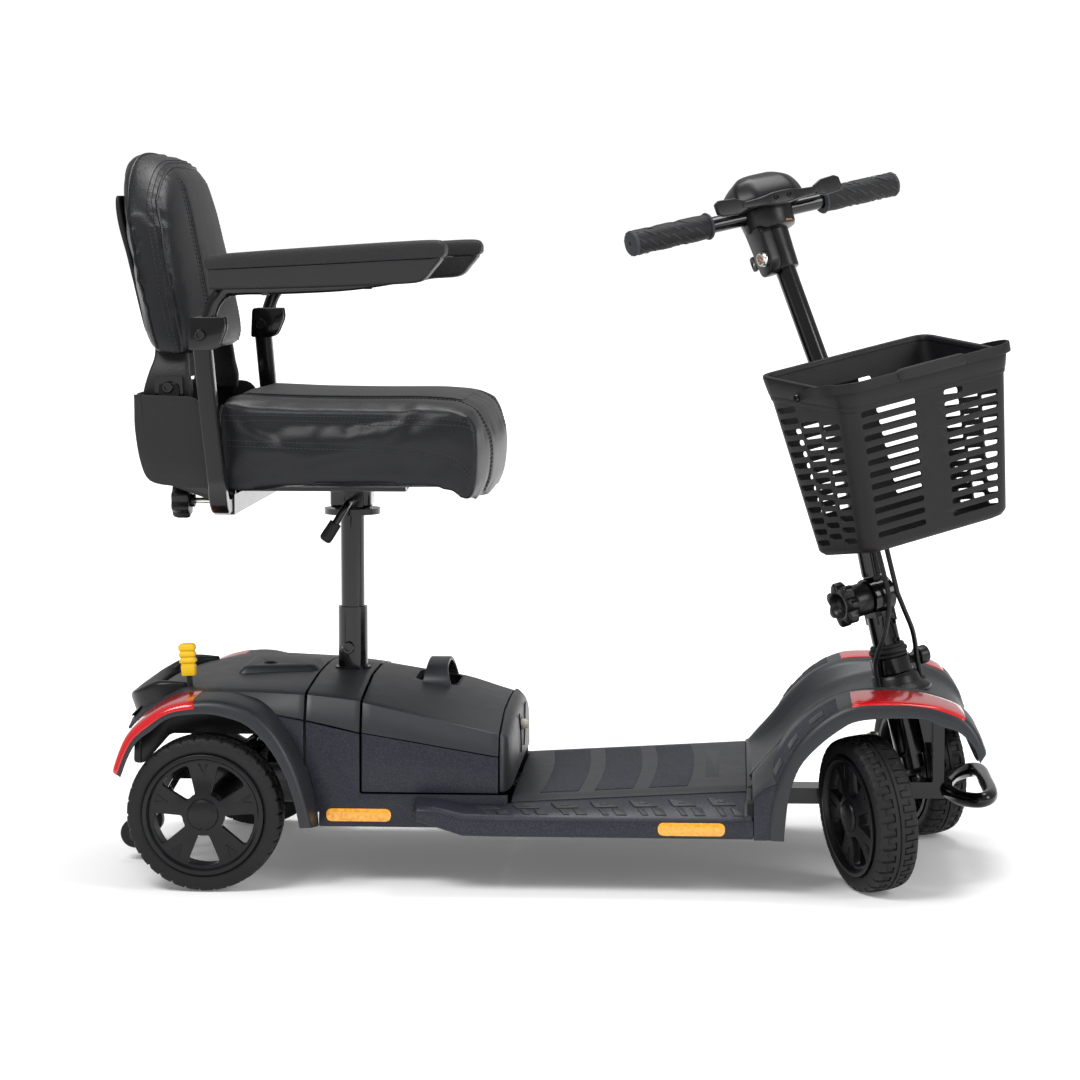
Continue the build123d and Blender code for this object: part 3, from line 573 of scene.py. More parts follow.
FENDER_SKIN = 0.003
REAR_ARCH = (
    # outer edge X, Z; lip X, Z; inner edge X, Y, Z
    (-0.114, 0.155, -0.106, 0.15, -0.118, 0.15, 0.166),
    (-0.105, 0.18, -0.096, 0.176, -0.11, 0.15, 0.19),
    (-0.094, 0.201, -0.084, 0.196, -0.098, 0.15, 0.21),
    (-0.074, 0.22, -0.066, 0.21, -0.076, 0.15, 0.228),
    (-0.044, 0.238, -0.04, 0.228, -0.046, 0.15, 0.243),
    (0.0, 0.246, 0.002, 0.233, 0.0, 0.152, 0.25),
    (0.034, 0.242, 0.031, 0.229, 0.04, 0.18, 0.249),
    (0.066, 0.228, 0.059, 0.218, 0.08, 0.205, 0.233),
    (0.094, 0.199, 0.085, 0.192, 0.11, 0.211, 0.19),
    (0.115, 0.159, 0.105, 0.158, 0.13, 0.212, 0.149),
    (0.129, 0.118, 0.118, 0.122, 0.141, 0.213, 0.102),
    (0.1365, 0.086, 0.126, 0.086, 0.143, 0.213, 0.08),
)
FRONT_ARCH = (
    (0.733, 0.076, 0.747, 0.076, 0.73, 0.205, 0.078),
    (0.732, 0.092, 0.748, 0.092, 0.729, 0.2, 0.095),
    (0.737, 0.133, 0.753, 0.133, 0.723, 0.16, 0.15),
    (0.751, 0.171, 0.766, 0.171, 0.742, 0.152, 0.184),
    (0.771, 0.204, 0.79, 0.199, 0.764, 0.15, 0.212),
    (0.801, 0.232, 0.818, 0.221, 0.797, 0.15, 0.239),
    (0.833, 0.248, 0.838, 0.231, 0.833, 0.15, 0.253),
    (0.872, 0.251, 0.872, 0.235, 0.872, 0.15, 0.256),
    (0.912, 0.25, 0.922, 0.235, 0.912, 0.15, 0.255),
    (0.945, 0.244, 0.943, 0.226, 0.945, 0.15, 0.248),
    (0.973, 0.232, 0.966, 0.219, 0.974, 0.15, 0.236),
    (0.99, 0.212, 0.985, 0.201, 0.992, 0.148, 0.216),
    (1.0, 0.188, 0.994, 0.179, 1.002, 0.144, 0.19),
)
LIP_Y = 0.262
SECTION_STEPS = 14


def arch_section(values):
    """Points across a fender at one place of its arch, from the inner edge to the lip."""
    ox, oz, lx, lz, ix, iy, iz = values
    inner = Vector((ix, iy, iz))
    outer = Vector((ox, LIP_Y - 0.003, oz))
    middle = inner.lerp(outer, 0.5)
    away = Vector((ox - lx, 0, oz - lz)).normalized()
    points = [inner, middle + away * 0.0025, inner.lerp(outer, 0.86) + away * 0.003, outer,
        Vector((lx, LIP_Y, lz))]
    return spline(points, SECTION_STEPS // 4 + 1)


def arch_rows(arch, per_span=4):
    """The arch's sections, smoothed along its length."""
    tracks = [[Vector(values[i : i + 2] + (0,)) for values in arch] for i in (0, 2)]
    inner = spline([Vector(values[4:7]) for values in arch], per_span)
    outer, lip = [spline(track, per_span) for track in tracks]
    return [arch_section((o.x, o.y, l.x, l.y, i.x, i.y, i.z)) for o, l, i in zip(outer, lip, inner)]


def part_of(rows, start, end, low, high, lift):
    """A patch lying on the sheet of rows: a span of rows and of columns, lifted off it."""
    patch = []
    count = len(rows)
    for r in range(start, end):
        row = []
        for c in range(low, high):
            here = rows[r][c]
            along = rows[min(r + 1, count - 1)][c] - rows[max(r - 1, 0)][c]
            over = rows[r][min(c + 1, len(rows[r]) - 1)] - rows[r][max(c - 1, 0)]
            normal = along.cross(over).normalized()
            row.append(here + normal * lift)
        patch.append(row)
    return patch


def on_chassis(rows):
    return [[station(*p) for p in row] for row in rows]


def sheet_piece(name, rows, mat, slot, thick, side=1, body="chassis", **more):
    shape = handed(surface(on_chassis(rows)), side)
    return piece(name, shape, mat, body, slot, thick=thick, **more)


rear_rows = arch_rows(REAR_ARCH)
front_rows = arch_rows(FRONT_ARCH)
for side, hand in SIDES:
    sheet_piece(f"rear_fender_shell_{hand}", rear_rows, CHARCOAL, "body_charcoal", FENDER_SKIN, side,
        bevel=0.0009, replaces=[f"rear_fender_{hand}"])
    red = part_of(rear_rows, 0, 20, 1, 15, 0.0016)
    sheet_piece(f"rear_fender_red_{hand}", red, RED, "panel_red", 0.0014, side, bevel=0.0005)
    sheet_piece(f"front_fender_shell_{hand}", front_rows, CHARCOAL, "body_charcoal", FENDER_SKIN, side,
        bevel=0.0009, replaces=[f"front_fender_{hand}"])
    red = part_of(front_rows, 24, 41, 1, 13, 0.0016)
    sheet_piece(f"front_fender_red_{hand}", red, RED, "panel_red", 0.0014, side, bevel=0.0005)
    inlay = part_of(front_rows, 9, 23, 2, 12, 0.0014)
    sheet_piece(f"fender_inlay_{hand}", inlay, GRIT, "grip_pad", 0.0012, side, bevel=0.0004)
    for index, start in enumerate((10, 14, 18)):
        frame_patch = part_of(front_rows, start, start + 3, 5, 9, 0.0022)
        sheet_piece(f"inlay_window_{index}_{hand}", frame_patch, DECK, "body_charcoal", 0.0012, side,
            bevel=0.0004)

# ---------------------------------------------------------------- front cowl

VALLEY = ((0.7065, 0.14), (0.725, 0.146), (0.748, 0.162), (0.77, 0.185), (0.795, 0.208), (0.83, 0.227),
    (0.872, 0.238), (0.912, 0.24), (0.95, 0.235), (0.98, 0.219), (0.996, 0.193), (1.003, 0.155))
RIDGE = ((0.703, 0.141), (0.715, 0.155), (0.735, 0.178), (0.76, 0.208), (0.793, 0.238), (0.83, 0.253),
    (0.872, 0.257), (0.912, 0.256), (0.948, 0.248), (0.976, 0.234), (0.994, 0.213), (1.003, 0.18))


def cowl_section(floor, crest):
    """Half of the cowl's section, from the middle to under the fender's inner edge."""
    points = []
    for y, share in ((0, 0), (0.05, 0.0), (0.09, 0.02), (0.112, 0.1), (0.124, 0.35), (0.133, 0.78),
            (0.14, 0.97), (0.147, 1.0), (0.1535, 0.93)):
        spot = floor.lerp(crest, share)
        points.append(Vector((spot.x, y, spot.y)))
    return points


cowl_rows = []
for floor, crest in zip(spline([(*p, 0) for p in VALLEY], 5), spline([(*p, 0) for p in RIDGE], 5)):
    half = cowl_section(floor, crest)
    cowl_rows.append(both(half))
sheet_piece("cowl_shell", cowl_rows, CHARCOAL, "body_charcoal", FENDER_SKIN, bevel=0.0008,
    replaces=["front_cowl"])

# The flat sides of the cowl between the deck rail and the fender, and its wall above the deck.
for side, hand in SIDES:
    outline = [(0.7085, 0.076), (0.734, 0.076), (0.733, 0.092), (0.737, 0.133), (0.742, 0.15), (0.72, 0.14),
        (0.7085, 0.128)]
    wall = prism([(x + REAR_AXLE_X, z) for x, z in outline], side * 0.2545, side * 0.258)
    piece(f"cowl_side_{hand}", wall, FLECK, "chassis", "body_fleck", bevel=0.0008)
    ramp = []
    for x, inner, outer in ((0.7075, 0.145, 0.127), (0.712, 0.1505, 0.132), (0.72, 0.16, 0.1395),
            (0.731, 0.1725, 0.145), (0.742, 0.185, 0.15)):
        ramp.append([Vector((x, y, inner + (outer - inner) * share))
            for y, share in ((0.148, 0), (0.17, 0.12), (0.195, 0.38), (0.225, 0.74), (0.2545, 1))])
    sheet_piece(f"cowl_foot_{hand}", ramp, CHARCOAL, "body_charcoal", 0.003, side, bevel=0.0007)

# ---------------------------------------------------------------- body covers

SEAM = 0.0012
PANEL_FOOT_Y = 0.2095
REAR_COVER = (
    # X; ridge Z; upper crease Y, Z; lower crease Y, Z
    (-0.116, 0.214, 0.118, 0.205, 0.148, 0.196),
    (-0.092, 0.236, 0.134, 0.226, 0.148, 0.214),
    (-0.055, 0.251, 0.146, 0.243, 0.15, 0.236),
    (-0.005, 0.256, 0.184, 0.252, 0.19, 0.246),
    (0.04, 0.258, 0.19, 0.2525, 0.202, 0.236),
    (0.08, 0.259, 0.19, 0.251, 0.204, 0.226),
    (0.124, 0.259, 0.19, 0.249, 0.205, 0.218),
)
MIDDLE_COVER = (
    (0.1275, 0.259, 0.19, 0.249, 0.205, 0.2175),
    (0.16, 0.259, 0.19, 0.2455, 0.205, 0.2105),
    (0.1965, 0.258, 0.19, 0.241, 0.205, 0.202),
)
BATTERY_COVER = (
    (0.1995, 0.2585, 0.19, 0.2405, 0.203, 0.2015),
    (0.26, 0.251, 0.19, 0.227, 0.203, 0.1915),
    (0.32, 0.241, 0.19, 0.213, 0.203, 0.1812),
    (0.3775, 0.222, 0.19, 0.2, 0.203, 0.1715),
)


def hull_row(values, floor=None):
    """A section of the body from right to left over the top; closed below at floor if it is given."""
    x, ridge, upper_y, upper_z, lower_y, lower_z = values
    half = [(0, ridge), (0.06, ridge - 0.0006), (0.125, ridge - (ridge - upper_z) * 0.45),
        (upper_y - 0.012, upper_z + 0.0018), (upper_y, upper_z - 0.001),
        (upper_y + (lower_y - upper_y) * 0.5, (upper_z + lower_z) / 2 - 0.0005), (lower_y, lower_z)]
    if floor is not None:
        half.append((lower_y - 0.004, floor))
    return both([Vector((x, y, z)) for y, z in half])


def smooth_rows(rows, per_span=5):
    tracks = [spline([row[i] for row in rows], per_span) for i in range(len(rows[0]))]
    return [list(row) for row in zip(*tracks)]


def hull_piece(name, table, mat, slot, body="chassis", cuts=None, **more):
    """A cover over the top of the body, as a closed shell."""
    outer = smooth_rows([hull_row(values) for values in table])
    shape = surface(on_chassis(outer))
    return piece(name, shape, mat, body, slot, thick=0.003, bevel=0.0016, cuts=cuts, **more)


hull_piece("rear_cover_shell", REAR_COVER, CHARCOAL, "body_charcoal", replaces=["rear_cover"])
post_hole = moved(prism(circle(0.0245, 40), 0.2, 0.3, "Z"), at(*station(POST_X, 0, 0)))
hull_piece("middle_cover_shell", MIDDLE_COVER, CHARCOAL, "body_charcoal", cuts=post_hole,
    replaces=["lower_body"])


def side_panel(name, outline, mat=None, body="chassis", low=0.2045, high=0.2085, slot="body_fleck"):
    """A flat side panel on both sides of the body, drawn from its outline in X and Z."""
    shapes = [block(outline, side * low, side * high) for side in (-1, 1)]
    return piece(name, joined(*shapes), mat or FLECK, body, slot, bevel=0.0008)


side_panel("rear_side_panels", rounded([(0.08, 0.2245), (0.124, 0.2165), (0.124, 0.15), (0.11, 0.188)],
    0.001))
side_panel("middle_side_panels", rounded([(0.1275, 0.216), (0.197, 0.2005), (0.197, 0.122), (0.39, 0.122),
    (0.39, 0.079), (0.144, 0.079), (0.144, 0.1), (0.133, 0.145), (0.1275, 0.156)],
    [0.001, 0.001, 0.004, 0.001, 0.001, 0.002, 0.001, 0.001, 0.001]))
floor_pan = block(((0.15, 0.08), (0.388, 0.08), (0.388, 0.0835), (0.15, 0.0835)), -0.204, 0.204)
piece("floor_pan", floor_pan, SOFT_BLACK, "chassis", "body_charcoal", bevel=0.0006)
bulkhead = block(((0.1255, 0.1), (0.1965, 0.1), (0.1965, 0.236), (0.1255, 0.244)), -0.186, 0.186)
piece("seam_liner", bulkhead, SOFT_BLACK, "chassis", "body_charcoal", bevel=0.002,
      cuts=moved(prism(circle(0.0242, 32), 0.05, 0.3, "Z"), at(*station(POST_X, 0, 0))))
wheel_wall = block(rounded([(-0.11, 0.15), (-0.108, 0.196), (-0.06, 0.236), (0.12, 0.24), (0.138, 0.15),
    (0.138, 0.086), (0.112, 0.086), (0.112, 0.15), (0.06, 0.19), (-0.06, 0.19), (-0.095, 0.15)], 0.006),
    0.146, 0.149)
piece("wheel_well_walls", joined(wheel_wall, mirrored(wheel_wall)), BLACK, "chassis", "black_plastic",
    bevel=0.0006)

# The battery pack: matt cover, flecked sides, rounded nose, recess and strap handle.
upper = smooth_rows([hull_row(values, values[5] + 0.0006) for values in BATTERY_COVER])
BATTERY_BOTTOM = 0.124
RECESS_X = 0.283
recess = moved(prism(rectangle(0.058, 0.104, 0.024, steps=8), 0.222, 0.3, "Z"), at(*station(RECESS_X, 0, 0)))
piece("battery_cover", solid(on_chassis(upper)), CHARCOAL, "battery", "body_charcoal",
      bevel=0.0018, cuts=recess, replaces=["battery_case", "battery_cells"], angle=30)
lower_rows = []
for x, ridge, upper_y, upper_z, lower_y, lower_z in BATTERY_COVER:
    z = lower_z - SEAM
    lower_rows.append([Vector((x, y, level)) for y, level in ((-lower_y, z), (lower_y, z),
        (lower_y + 0.0025, BATTERY_BOTTOM), (-lower_y - 0.0025, BATTERY_BOTTOM))])
piece("battery_sides", solid(on_chassis(lower_rows)), FLECK, "battery", "body_fleck", bevel=0.001)
nose_rows = []
for x, wide, drop in ((0.379, 0.2025, 0.0), (0.384, 0.201, 0.0015), (0.3885, 0.195, 0.005),
        (0.392, 0.184, 0.011), (0.3945, 0.168, 0.018)):
    ridge, crease, low = 0.2215 - drop, 0.1995 - drop, 0.17 - drop
    half = [(0, ridge), (0.5 * wide, ridge - 0.003), (0.93 * wide, crease), (wide, low),
        (wide + 0.001, BATTERY_BOTTOM + drop * 0.3)]
    nose_rows.append(both([Vector((x, y, z)) for y, z in half]))
BREAKER_Z = 0.184
boot_hole = moved(prism(circle(0.0105, 24), 0.3, 0.5, "X"), Matrix.Translation(Vector((REAR_AXLE_X, 0,
    BREAKER_Z))))
piece("battery_nose", solid(on_chassis(nose_rows)), CHARCOAL, "battery", "body_charcoal",
      bevel=0.003, segments=3, cuts=boot_hole)
nose_slot = [tube(spline([station(0.3955, y * 1.9, 0.206), station(0.3962, y * 1.3, 0.176),
    station(0.396, y, 0.15)], 6), 0.0011, 8) for y in (-0.03, 0.03)]
piece("nose_lines", joined(*nose_slot), SOFT_BLACK, "battery", "black_plastic")
STRAP_X = 0.284
strap = there_and_back(((0.24, -0.06, 0.021), (0.252, -0.057, 0.018), (0.264, -0.045, 0.015),
    (0.27, -0.025, 0.014), (0.2715, 0, 0.014)))
path = spline([station(STRAP_X, y, z) for z, y, wide in strap], 5)
widths = [v.x for v in spline([(wide, 0, 0) for z, y, wide in strap], 5)]
flat = rounded([(-1, -0.17), (1, -0.17), (1, 0.17), (-1, 0.17)], 0.1)
strap_rows = []
for i, point in enumerate(path):
    ahead = (path[min(i + 1, len(path) - 1)] - path[max(i - 1, 0)]).normalized()
    rise = Vector((1, 0, 0)).cross(ahead)
    strap_rows.append([point + Vector((p[0] * widths[i], 0, 0)) + rise * p[1] * 0.016 for p in flat])
piece("battery_strap", solid(strap_rows), CHARCOAL, "battery", "body_charcoal", bevel=0.0008)
cup = []
for reach, z in ((1.0, 0.244), (1.0, 0.233), (0.93, 0.2262), (0.75, 0.224), (0.01, 0.2236)):
    cup.append([station(RECESS_X, 0, z) + Vector((p[0] * reach, p[1] * reach, 0))
        for p in rectangle(0.0575, 0.1035, 0.024, steps=8)])
piece("handle_recess", surface(cup, ring=True), SOFT_BLACK, "battery", "body_charcoal", thick=0.0016)
boot = [(0.0, 0.0), (0.0098, 0.0), (0.0098, 0.002), (0.0075, 0.004), (0.0068, 0.0105), (0.0074, 0.012),
    (0.0066, 0.017), (0.004, 0.02), (0, 0.0208)]
to_front = Matrix.Rotation(math.radians(90), 4, "Y")
breaker_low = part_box("breaker_button")[0]
boot_place = at(breaker_low[0], 0, BREAKER_Z) @ to_front
piece("breaker_boot", lathe(boot, 32), CLEAR, "breaker", "black_plastic", boot_place,
    replaces=["breaker_button"])
collar = ring_of([(0.0112, 0.0045), (0.0148, 0.0045), (0.0142, 0.0085), (0.0112, 0.009)], 40)
piece("breaker_collar", collar, BLACK, "battery", "black_plastic", boot_place, bevel=0.0004)

# Side reflectors: an amber lens.
for side, hand in SIDES:
    for index, (x, z) in enumerate(((0.196, 0.0945), (0.629, 0.0895))):
        y = side * (PANEL_FOOT_Y - 0.0005 if index == 0 else 0.2585)
        lens = rectangle(0.085 if index == 0 else 0.086, 0.017, 0.0084, station(x, 0, z).xz, 8)
        piece(f"reflector_{index}_{hand}", prism(lens, y - side * 0.001, y + side * 0.0014), AMBER, "chassis",
            "yellow_plastic", bevel=0.0008)

# Rear top: connector cover, tail trim and the freewheel lever.
PORT_X, PORT_Y = 0.055, -0.022
box_rows = []
for level, grow, radius in ((0.255, 0.004, 0.012), (0.262, 0.0, 0.011), (0.2665, -0.004, 0.01),
        (0.268, -0.01, 0.008)):
    outline = rounded([(0.018 - grow, -0.062 - grow), (0.122 + grow, -0.04 - grow),
        (0.122 + grow, 0.04 + grow), (0.018 - grow, 0.062 + grow)], radius, 6)
    box_rows.append([station(p[0], p[1], level) for p in outline])
port = moved(prism(circle(0.0062, 24), 0.262, 0.29, "Z"), at(*station(PORT_X, PORT_Y, 0)))
piece("connector_cover", solid(box_rows), CHARCOAL, "chassis", "body_charcoal", bevel=0.0008,
      cuts=port)
lip = ring_of([(0.0056, 0.2655), (0.0056, 0.2688), (0.008, 0.2692), (0.0094, 0.268), (0.0094, 0.2655)], 32)
piece("connector_port", lip, SOFT_BLACK, "chassis", "black_plastic", at(*station(PORT_X, PORT_Y, 0)))
tail_path = spline(there_and_back([(-0.04, -0.132, 0.252), (-0.076, -0.13, 0.247), (-0.104, -0.112, 0.234),
    (-0.114, -0.07, 0.228), (-0.116, 0, 0.227)]), 6)
tail_section = rounded([(-0.012, -0.022), (0.011, -0.026), (0.013, 0.004), (0.003, 0.012), (-0.01, 0.01)],
    0.006)
ends = [0.35 + 0.65 * min(1, i / 6, (len(tail_path) - 1 - i) / 6) for i in range(len(tail_path))]
piece("tail_trim", sweep([station(*p) for p in tail_path], tail_section, ends), BLACK, "chassis",
    "black_plastic", bevel=0.0012)
tail_panel = []
for x, z in ((-0.1205, 0.15), (-0.12, 0.19), (-0.113, 0.212)):
    tail_panel.append([Vector((x + 0.02 * (abs(y) / 0.15) ** 3, y, z))
        for y in (-0.15, -0.12, -0.08, 0, 0.08, 0.12, 0.15)])
sheet_piece("tail_panel", tail_panel, CHARCOAL, "body_charcoal", 0.003, bevel=0.0008)
for side, hand in SIDES:
    lamp = rectangle(0.042, 0.024, 0.006, (side * 0.098, 0.18), 5)
    piece(f"tail_reflector_{hand}", moved(prism(lamp, -0.1195, -0.1165, "X"), at(REAR_AXLE_X, 0, 0)),
          RED, "chassis", "panel_red", bevel=0.001)

LEVER_Y = -0.135
stem_foot, stem_top = station(-0.034, LEVER_Y, 0.218), station(-0.0375, LEVER_Y, 0.275)
grip_top = station(-0.04, LEVER_Y, 0.308)
flat_stem = rectangle(0.013, 0.006, 0.0015)
piece("lever_stem", sweep([stem_foot, stem_foot.lerp(stem_top, 0.5), stem_top], flat_stem, up=(1, 0, 0)),
    BLACK, "freewheel", "black_plastic", bevel=0.0005, replaces=["freewheel_lever"])
grip_rows = []
for share, wide, deep in ((-0.3, 0.0072, 0.005), (-0.28, 0.0094, 0.0068), (0.1, 0.0098, 0.0072),
        (0.14, 0.009, 0.0066), (0.22, 0.009, 0.0066), (0.25, 0.0112, 0.008), (0.37, 0.0112, 0.008),
        (0.4, 0.0094, 0.0068), (0.47, 0.0094, 0.0068), (0.5, 0.0112, 0.008), (0.62, 0.0112, 0.008),
        (0.65, 0.0094, 0.0068), (0.72, 0.0094, 0.0068), (0.75, 0.0112, 0.008), (0.9, 0.0112, 0.008),
        (0.97, 0.0098, 0.007), (1.0, 0.0078, 0.0054)):
    centre = stem_top.lerp(grip_top, share)
    outline = rectangle(2 * wide, 2 * deep, min(wide, deep) * 0.45)
    grip_rows.append([centre + Vector((p[0], p[1], p[0] * 0.06)) for p in outline])
piece("lever_grip", solid(grip_rows), YELLOW, "freewheel", "yellow_plastic", bevel=0.0006)

# ---------------------------------------------------------------- deck

DECK_LOW, DECK_HIGH = (0.3945, 0.115), (0.699, 0.1325)
DECK_HALF = 0.2


def deck_z(x):
    share = (x - DECK_LOW[0]) / (DECK_HIGH[0] - DECK_LOW[0])
    return DECK_LOW[1] + share * (DECK_HIGH[1] - DECK_LOW[1])


deck_rows = []
for x in (0.3945, 0.47, 0.55, 0.63, 0.699):
    half = [(0, 0.001), (0.1, 0.001), (0.172, 0.0006), (0.186, 0.0), (0.192, -0.0025), (DECK_HALF, -0.0035)]
    deck_rows.append(both([Vector((x, y, deck_z(x) + z)) for y, z in half]))
sheet_piece("deck_top", deck_rows, DECK, "body_charcoal", 0.003, bevel=0.001,
    replaces=["floor_deck", "grip_panels"])
for index, start in enumerate((0.43, 0.501, 0.572)):
    rows = []
    for share in (0, 0.25, 0.5, 0.75, 1):
        row = []
        for step in range(-10, 11):
            y = 0.168 * step / 10
            x = start + 0.05 * share + 0.007 * (1 - (step / 10) ** 2)
            row.append(Vector((x, y, deck_z(x) + 0.0024)))
        rows.append(row)
    sheet_piece(f"grit_strip_{index}", rows, GRIT, "grip_pad", 0.0012, bevel=0.0003)
plate = rounded([(0.644, -0.11), (0.664, -0.11), (0.664, 0.11), (0.644, 0.11)], 0.004)
plate_rows = [[Vector((p[0], p[1], deck_z(p[0]) + lift)) for p in plate] for lift in (0.0005, 0.0026)]
piece("deck_plate", solid(on_chassis(plate_rows)), DECK, "chassis", "body_charcoal", bevel=0.0006)


RAIL_INNER, RAIL_OUTER, RAIL_EDGE_Z = 0.201, 0.252, 0.1045


def rail_z(x, y):
    """Height of the side rail's sloping top, which meets the deck's edge and falls outward."""
    share = min(1, max(0, (x - 0.38) / 0.02))
    inner = 0.109 * (1 - share) + (deck_z(min(DECK_HIGH[0], max(DECK_LOW[0], x))) - 0.003) * share
    return inner + (RAIL_EDGE_Z - inner) * (y - RAIL_INNER) / (RAIL_OUTER - RAIL_INNER)


def on_rail(outline, low, high):
    """A flat pad that follows the rail's top, between two heights from it."""
    return solid([[station(p[0], p[1], rail_z(*p) + lift) for p in outline] for lift in (low, high)])


for side, hand in SIDES:
    rail = []
    for x, top, foot in ((0.27, 0.113, 0.099), (0.276, 0.115, 0.095), (0.3, 0.114, 0.088),
            (0.335, 0.106, 0.077), (0.38, 0.1045, 0.0765), (0.4, 0.1045, 0.0765), (0.45, 0.1045, 0.0765),
            (0.5, 0.1045, 0.0765), (0.55, 0.1045, 0.0765), (0.6, 0.1045, 0.0765), (0.65, 0.1045, 0.0765),
            (0.7082, 0.1045, 0.0765)):
        pinch = 0.01 if x < 0.273 else 0
        inner_top = rail_z(x, RAIL_INNER) if x > 0.379 else top + 0.0045
        rail.append([Vector((x, y, z)) for y, z in ((0.201, foot + 0.003), (0.201, inner_top),
            (0.23, inner_top + (top - inner_top) * 0.57), (0.252 - pinch, top), (0.2578 - pinch, top - 0.005),
            (0.2578 - pinch, foot + 0.004), (0.255 - pinch, foot))])
    shape = handed(solid(on_chassis(rail)), side)
    piece(f"side_rail_{hand}", shape, FLECK, "chassis", "body_fleck", bevel=0.0016)
    blocks = []
    for i in range(7):
        x = 0.345 + 0.0505 * i
        for start, end, slant, near, far, radius in (
                (0, 0.03, 0.008, 0.211, 0.229, 0.002), (0.012, 0.02, 0.007, 0.233, 0.25, 0.001),
                (0.03, 0.044, 0.006, 0.233, 0.25, 0.001)):
            outline = rounded([(x + start, near), (x + end, near), (x + end + slant, far),
                (x + start + slant, far)], radius)
            blocks.append(on_rail(outline, -0.001, 0.0014))
        blocks.append(on_rail(rectangle(0.01, 0.008, 0.001, (x + 0.019, 0.22)), 0.0005, 0.0022))
    shape = handed(joined(*blocks), side)
    piece(f"rail_tread_{hand}", shape, DECK, "chassis", "body_fleck", bevel=0.0004)
    end = rounded([(0.699, 0.201), (0.706, 0.201), (0.706, 0.256), (0.696, 0.256), (0.696, 0.23),
        (0.699, 0.226)], 0.001)
    shape = handed(on_rail(end, -0.0045, 0.0045), side)
    piece(f"rail_end_{hand}", shape, DECK, "chassis", "body_charcoal", bevel=0.0008)
    liner = block(((0.7, 0.08), (0.714, 0.08), (0.714, 0.125), (0.7, 0.122)), side * 0.2, side * 0.253)
    piece(f"rail_liner_{hand}", liner, SOFT_BLACK, "chassis", "body_charcoal")
step = block(((0.6995, 0.12), (0.707, 0.12), (0.707, 0.1385), (0.6995, 0.1345)), -0.196, 0.196)
piece("deck_step", step, CHARCOAL, "chassis", "body_charcoal", bevel=0.001)
under = block(((0.396, 0.08), (0.704, 0.08), (0.704, 0.083), (0.396, 0.083)), -0.2, 0.2)
spine_gap = block(((0.38, 0.07), (0.72, 0.07), (0.72, 0.1), (0.38, 0.1)), -0.0265, 0.0265)
piece("deck_underside", under, SOFT_BLACK, "chassis", "body_charcoal", cuts=spine_gap, bevel=0.0006)

# ---------------------------------------------------------------- seat

SEAT_HALF = 0.232
CLOTH_FRAMES = 20


def puffed(name, shape, cap, pressure, voxel=0.006):
    """The closed shape filled by a cloth simulation, no point moving further than cap."""
    obj = blank(name, shape)
    modifier(obj, "REMESH", mode="VOXEL", voxel_size=voxel)
    settle(obj)
    start = [v.co.copy() for v in obj.data.vertices]
    cloth = modifier(obj, "CLOTH")
    cloth.settings.use_pressure = True
    cloth.settings.uniform_pressure_force = pressure
    cloth.settings.quality = 5
    cloth.settings.effector_weights.gravity = 0
    cloth.settings.tension_stiffness = 15
    cloth.settings.compression_stiffness = 15
    cloth.settings.bending_stiffness = 2
    scene = bpy.context.scene
    for step in range(1, CLOTH_FRAMES + 1):
        scene.frame_set(step)
    graph = bpy.context.evaluated_depsgraph_get()
    swollen = [v.co.copy() for v in obj.evaluated_get(graph).data.vertices]
    obj.modifiers.clear()
    scene.frame_set(1)
    for vertex, before, after in zip(obj.data.vertices, start, swollen):
        way = after - before
        vertex.co = before + way * min(1, cap / max(way.length, 1e-6))
    return obj


def seam_line(path, radius=0.0016):
    return tube(path, radius, 8)


def stitches(path, pitch=0.0055, length=0.0034, radius=0.0007):
    """Short raised threads along a path."""
    path = [Vector(p) for p in path]
    shapes = []
    travelled, wait = 0.0, 0.0
    for a, b in zip(path, path[1:]):
        run = (b - a).length
        if run < 1e-6:
            continue
        ahead = (b - a) / run
        while wait <= travelled + run:
            spot = a + ahead * (wait - travelled)
            shapes.append(tube([spot - ahead * length / 2, spot, spot + ahead * length / 2], radius, 6))
            wait += pitch
        travelled += run
    return joined(*shapes)


def grooved(obj, path, depth=0.0028, reach=0.008):
    """Presses a sewn channel into a pad along a path."""
    points = [Vector(p) for p in path]
    low = Vector([min(p[i] for p in points) - reach for i in range(3)])
    high = Vector([max(p[i] for p in points) + reach for i in range(3)])
    middle = sum((v.co for v in obj.data.vertices), Vector()) / len(obj.data.vertices)
    for vertex in obj.data.vertices:
        co = vertex.co
        if any(co[i] < low[i] or co[i] > high[i] for i in range(3)):
            continue
        gap = min((co - p).length for p in points)
        if gap < reach:
            vertex.co = co + (middle - co).normalized() * depth * (1 - (gap / reach) ** 2)


def soft_piece(obj, mat, body, replaces=(), levels=1):
    modifier(obj, "SMOOTH", iterations=3, factor=0.5)
    if levels:
        modifier(obj, "SUBSURF", levels=levels, render_levels=levels)
    settle(obj, 60)
    obj.data.materials.clear()
    obj.data.materials.append(mat)
    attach(obj, body)
    if replaces:
        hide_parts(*replaces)
    return obj


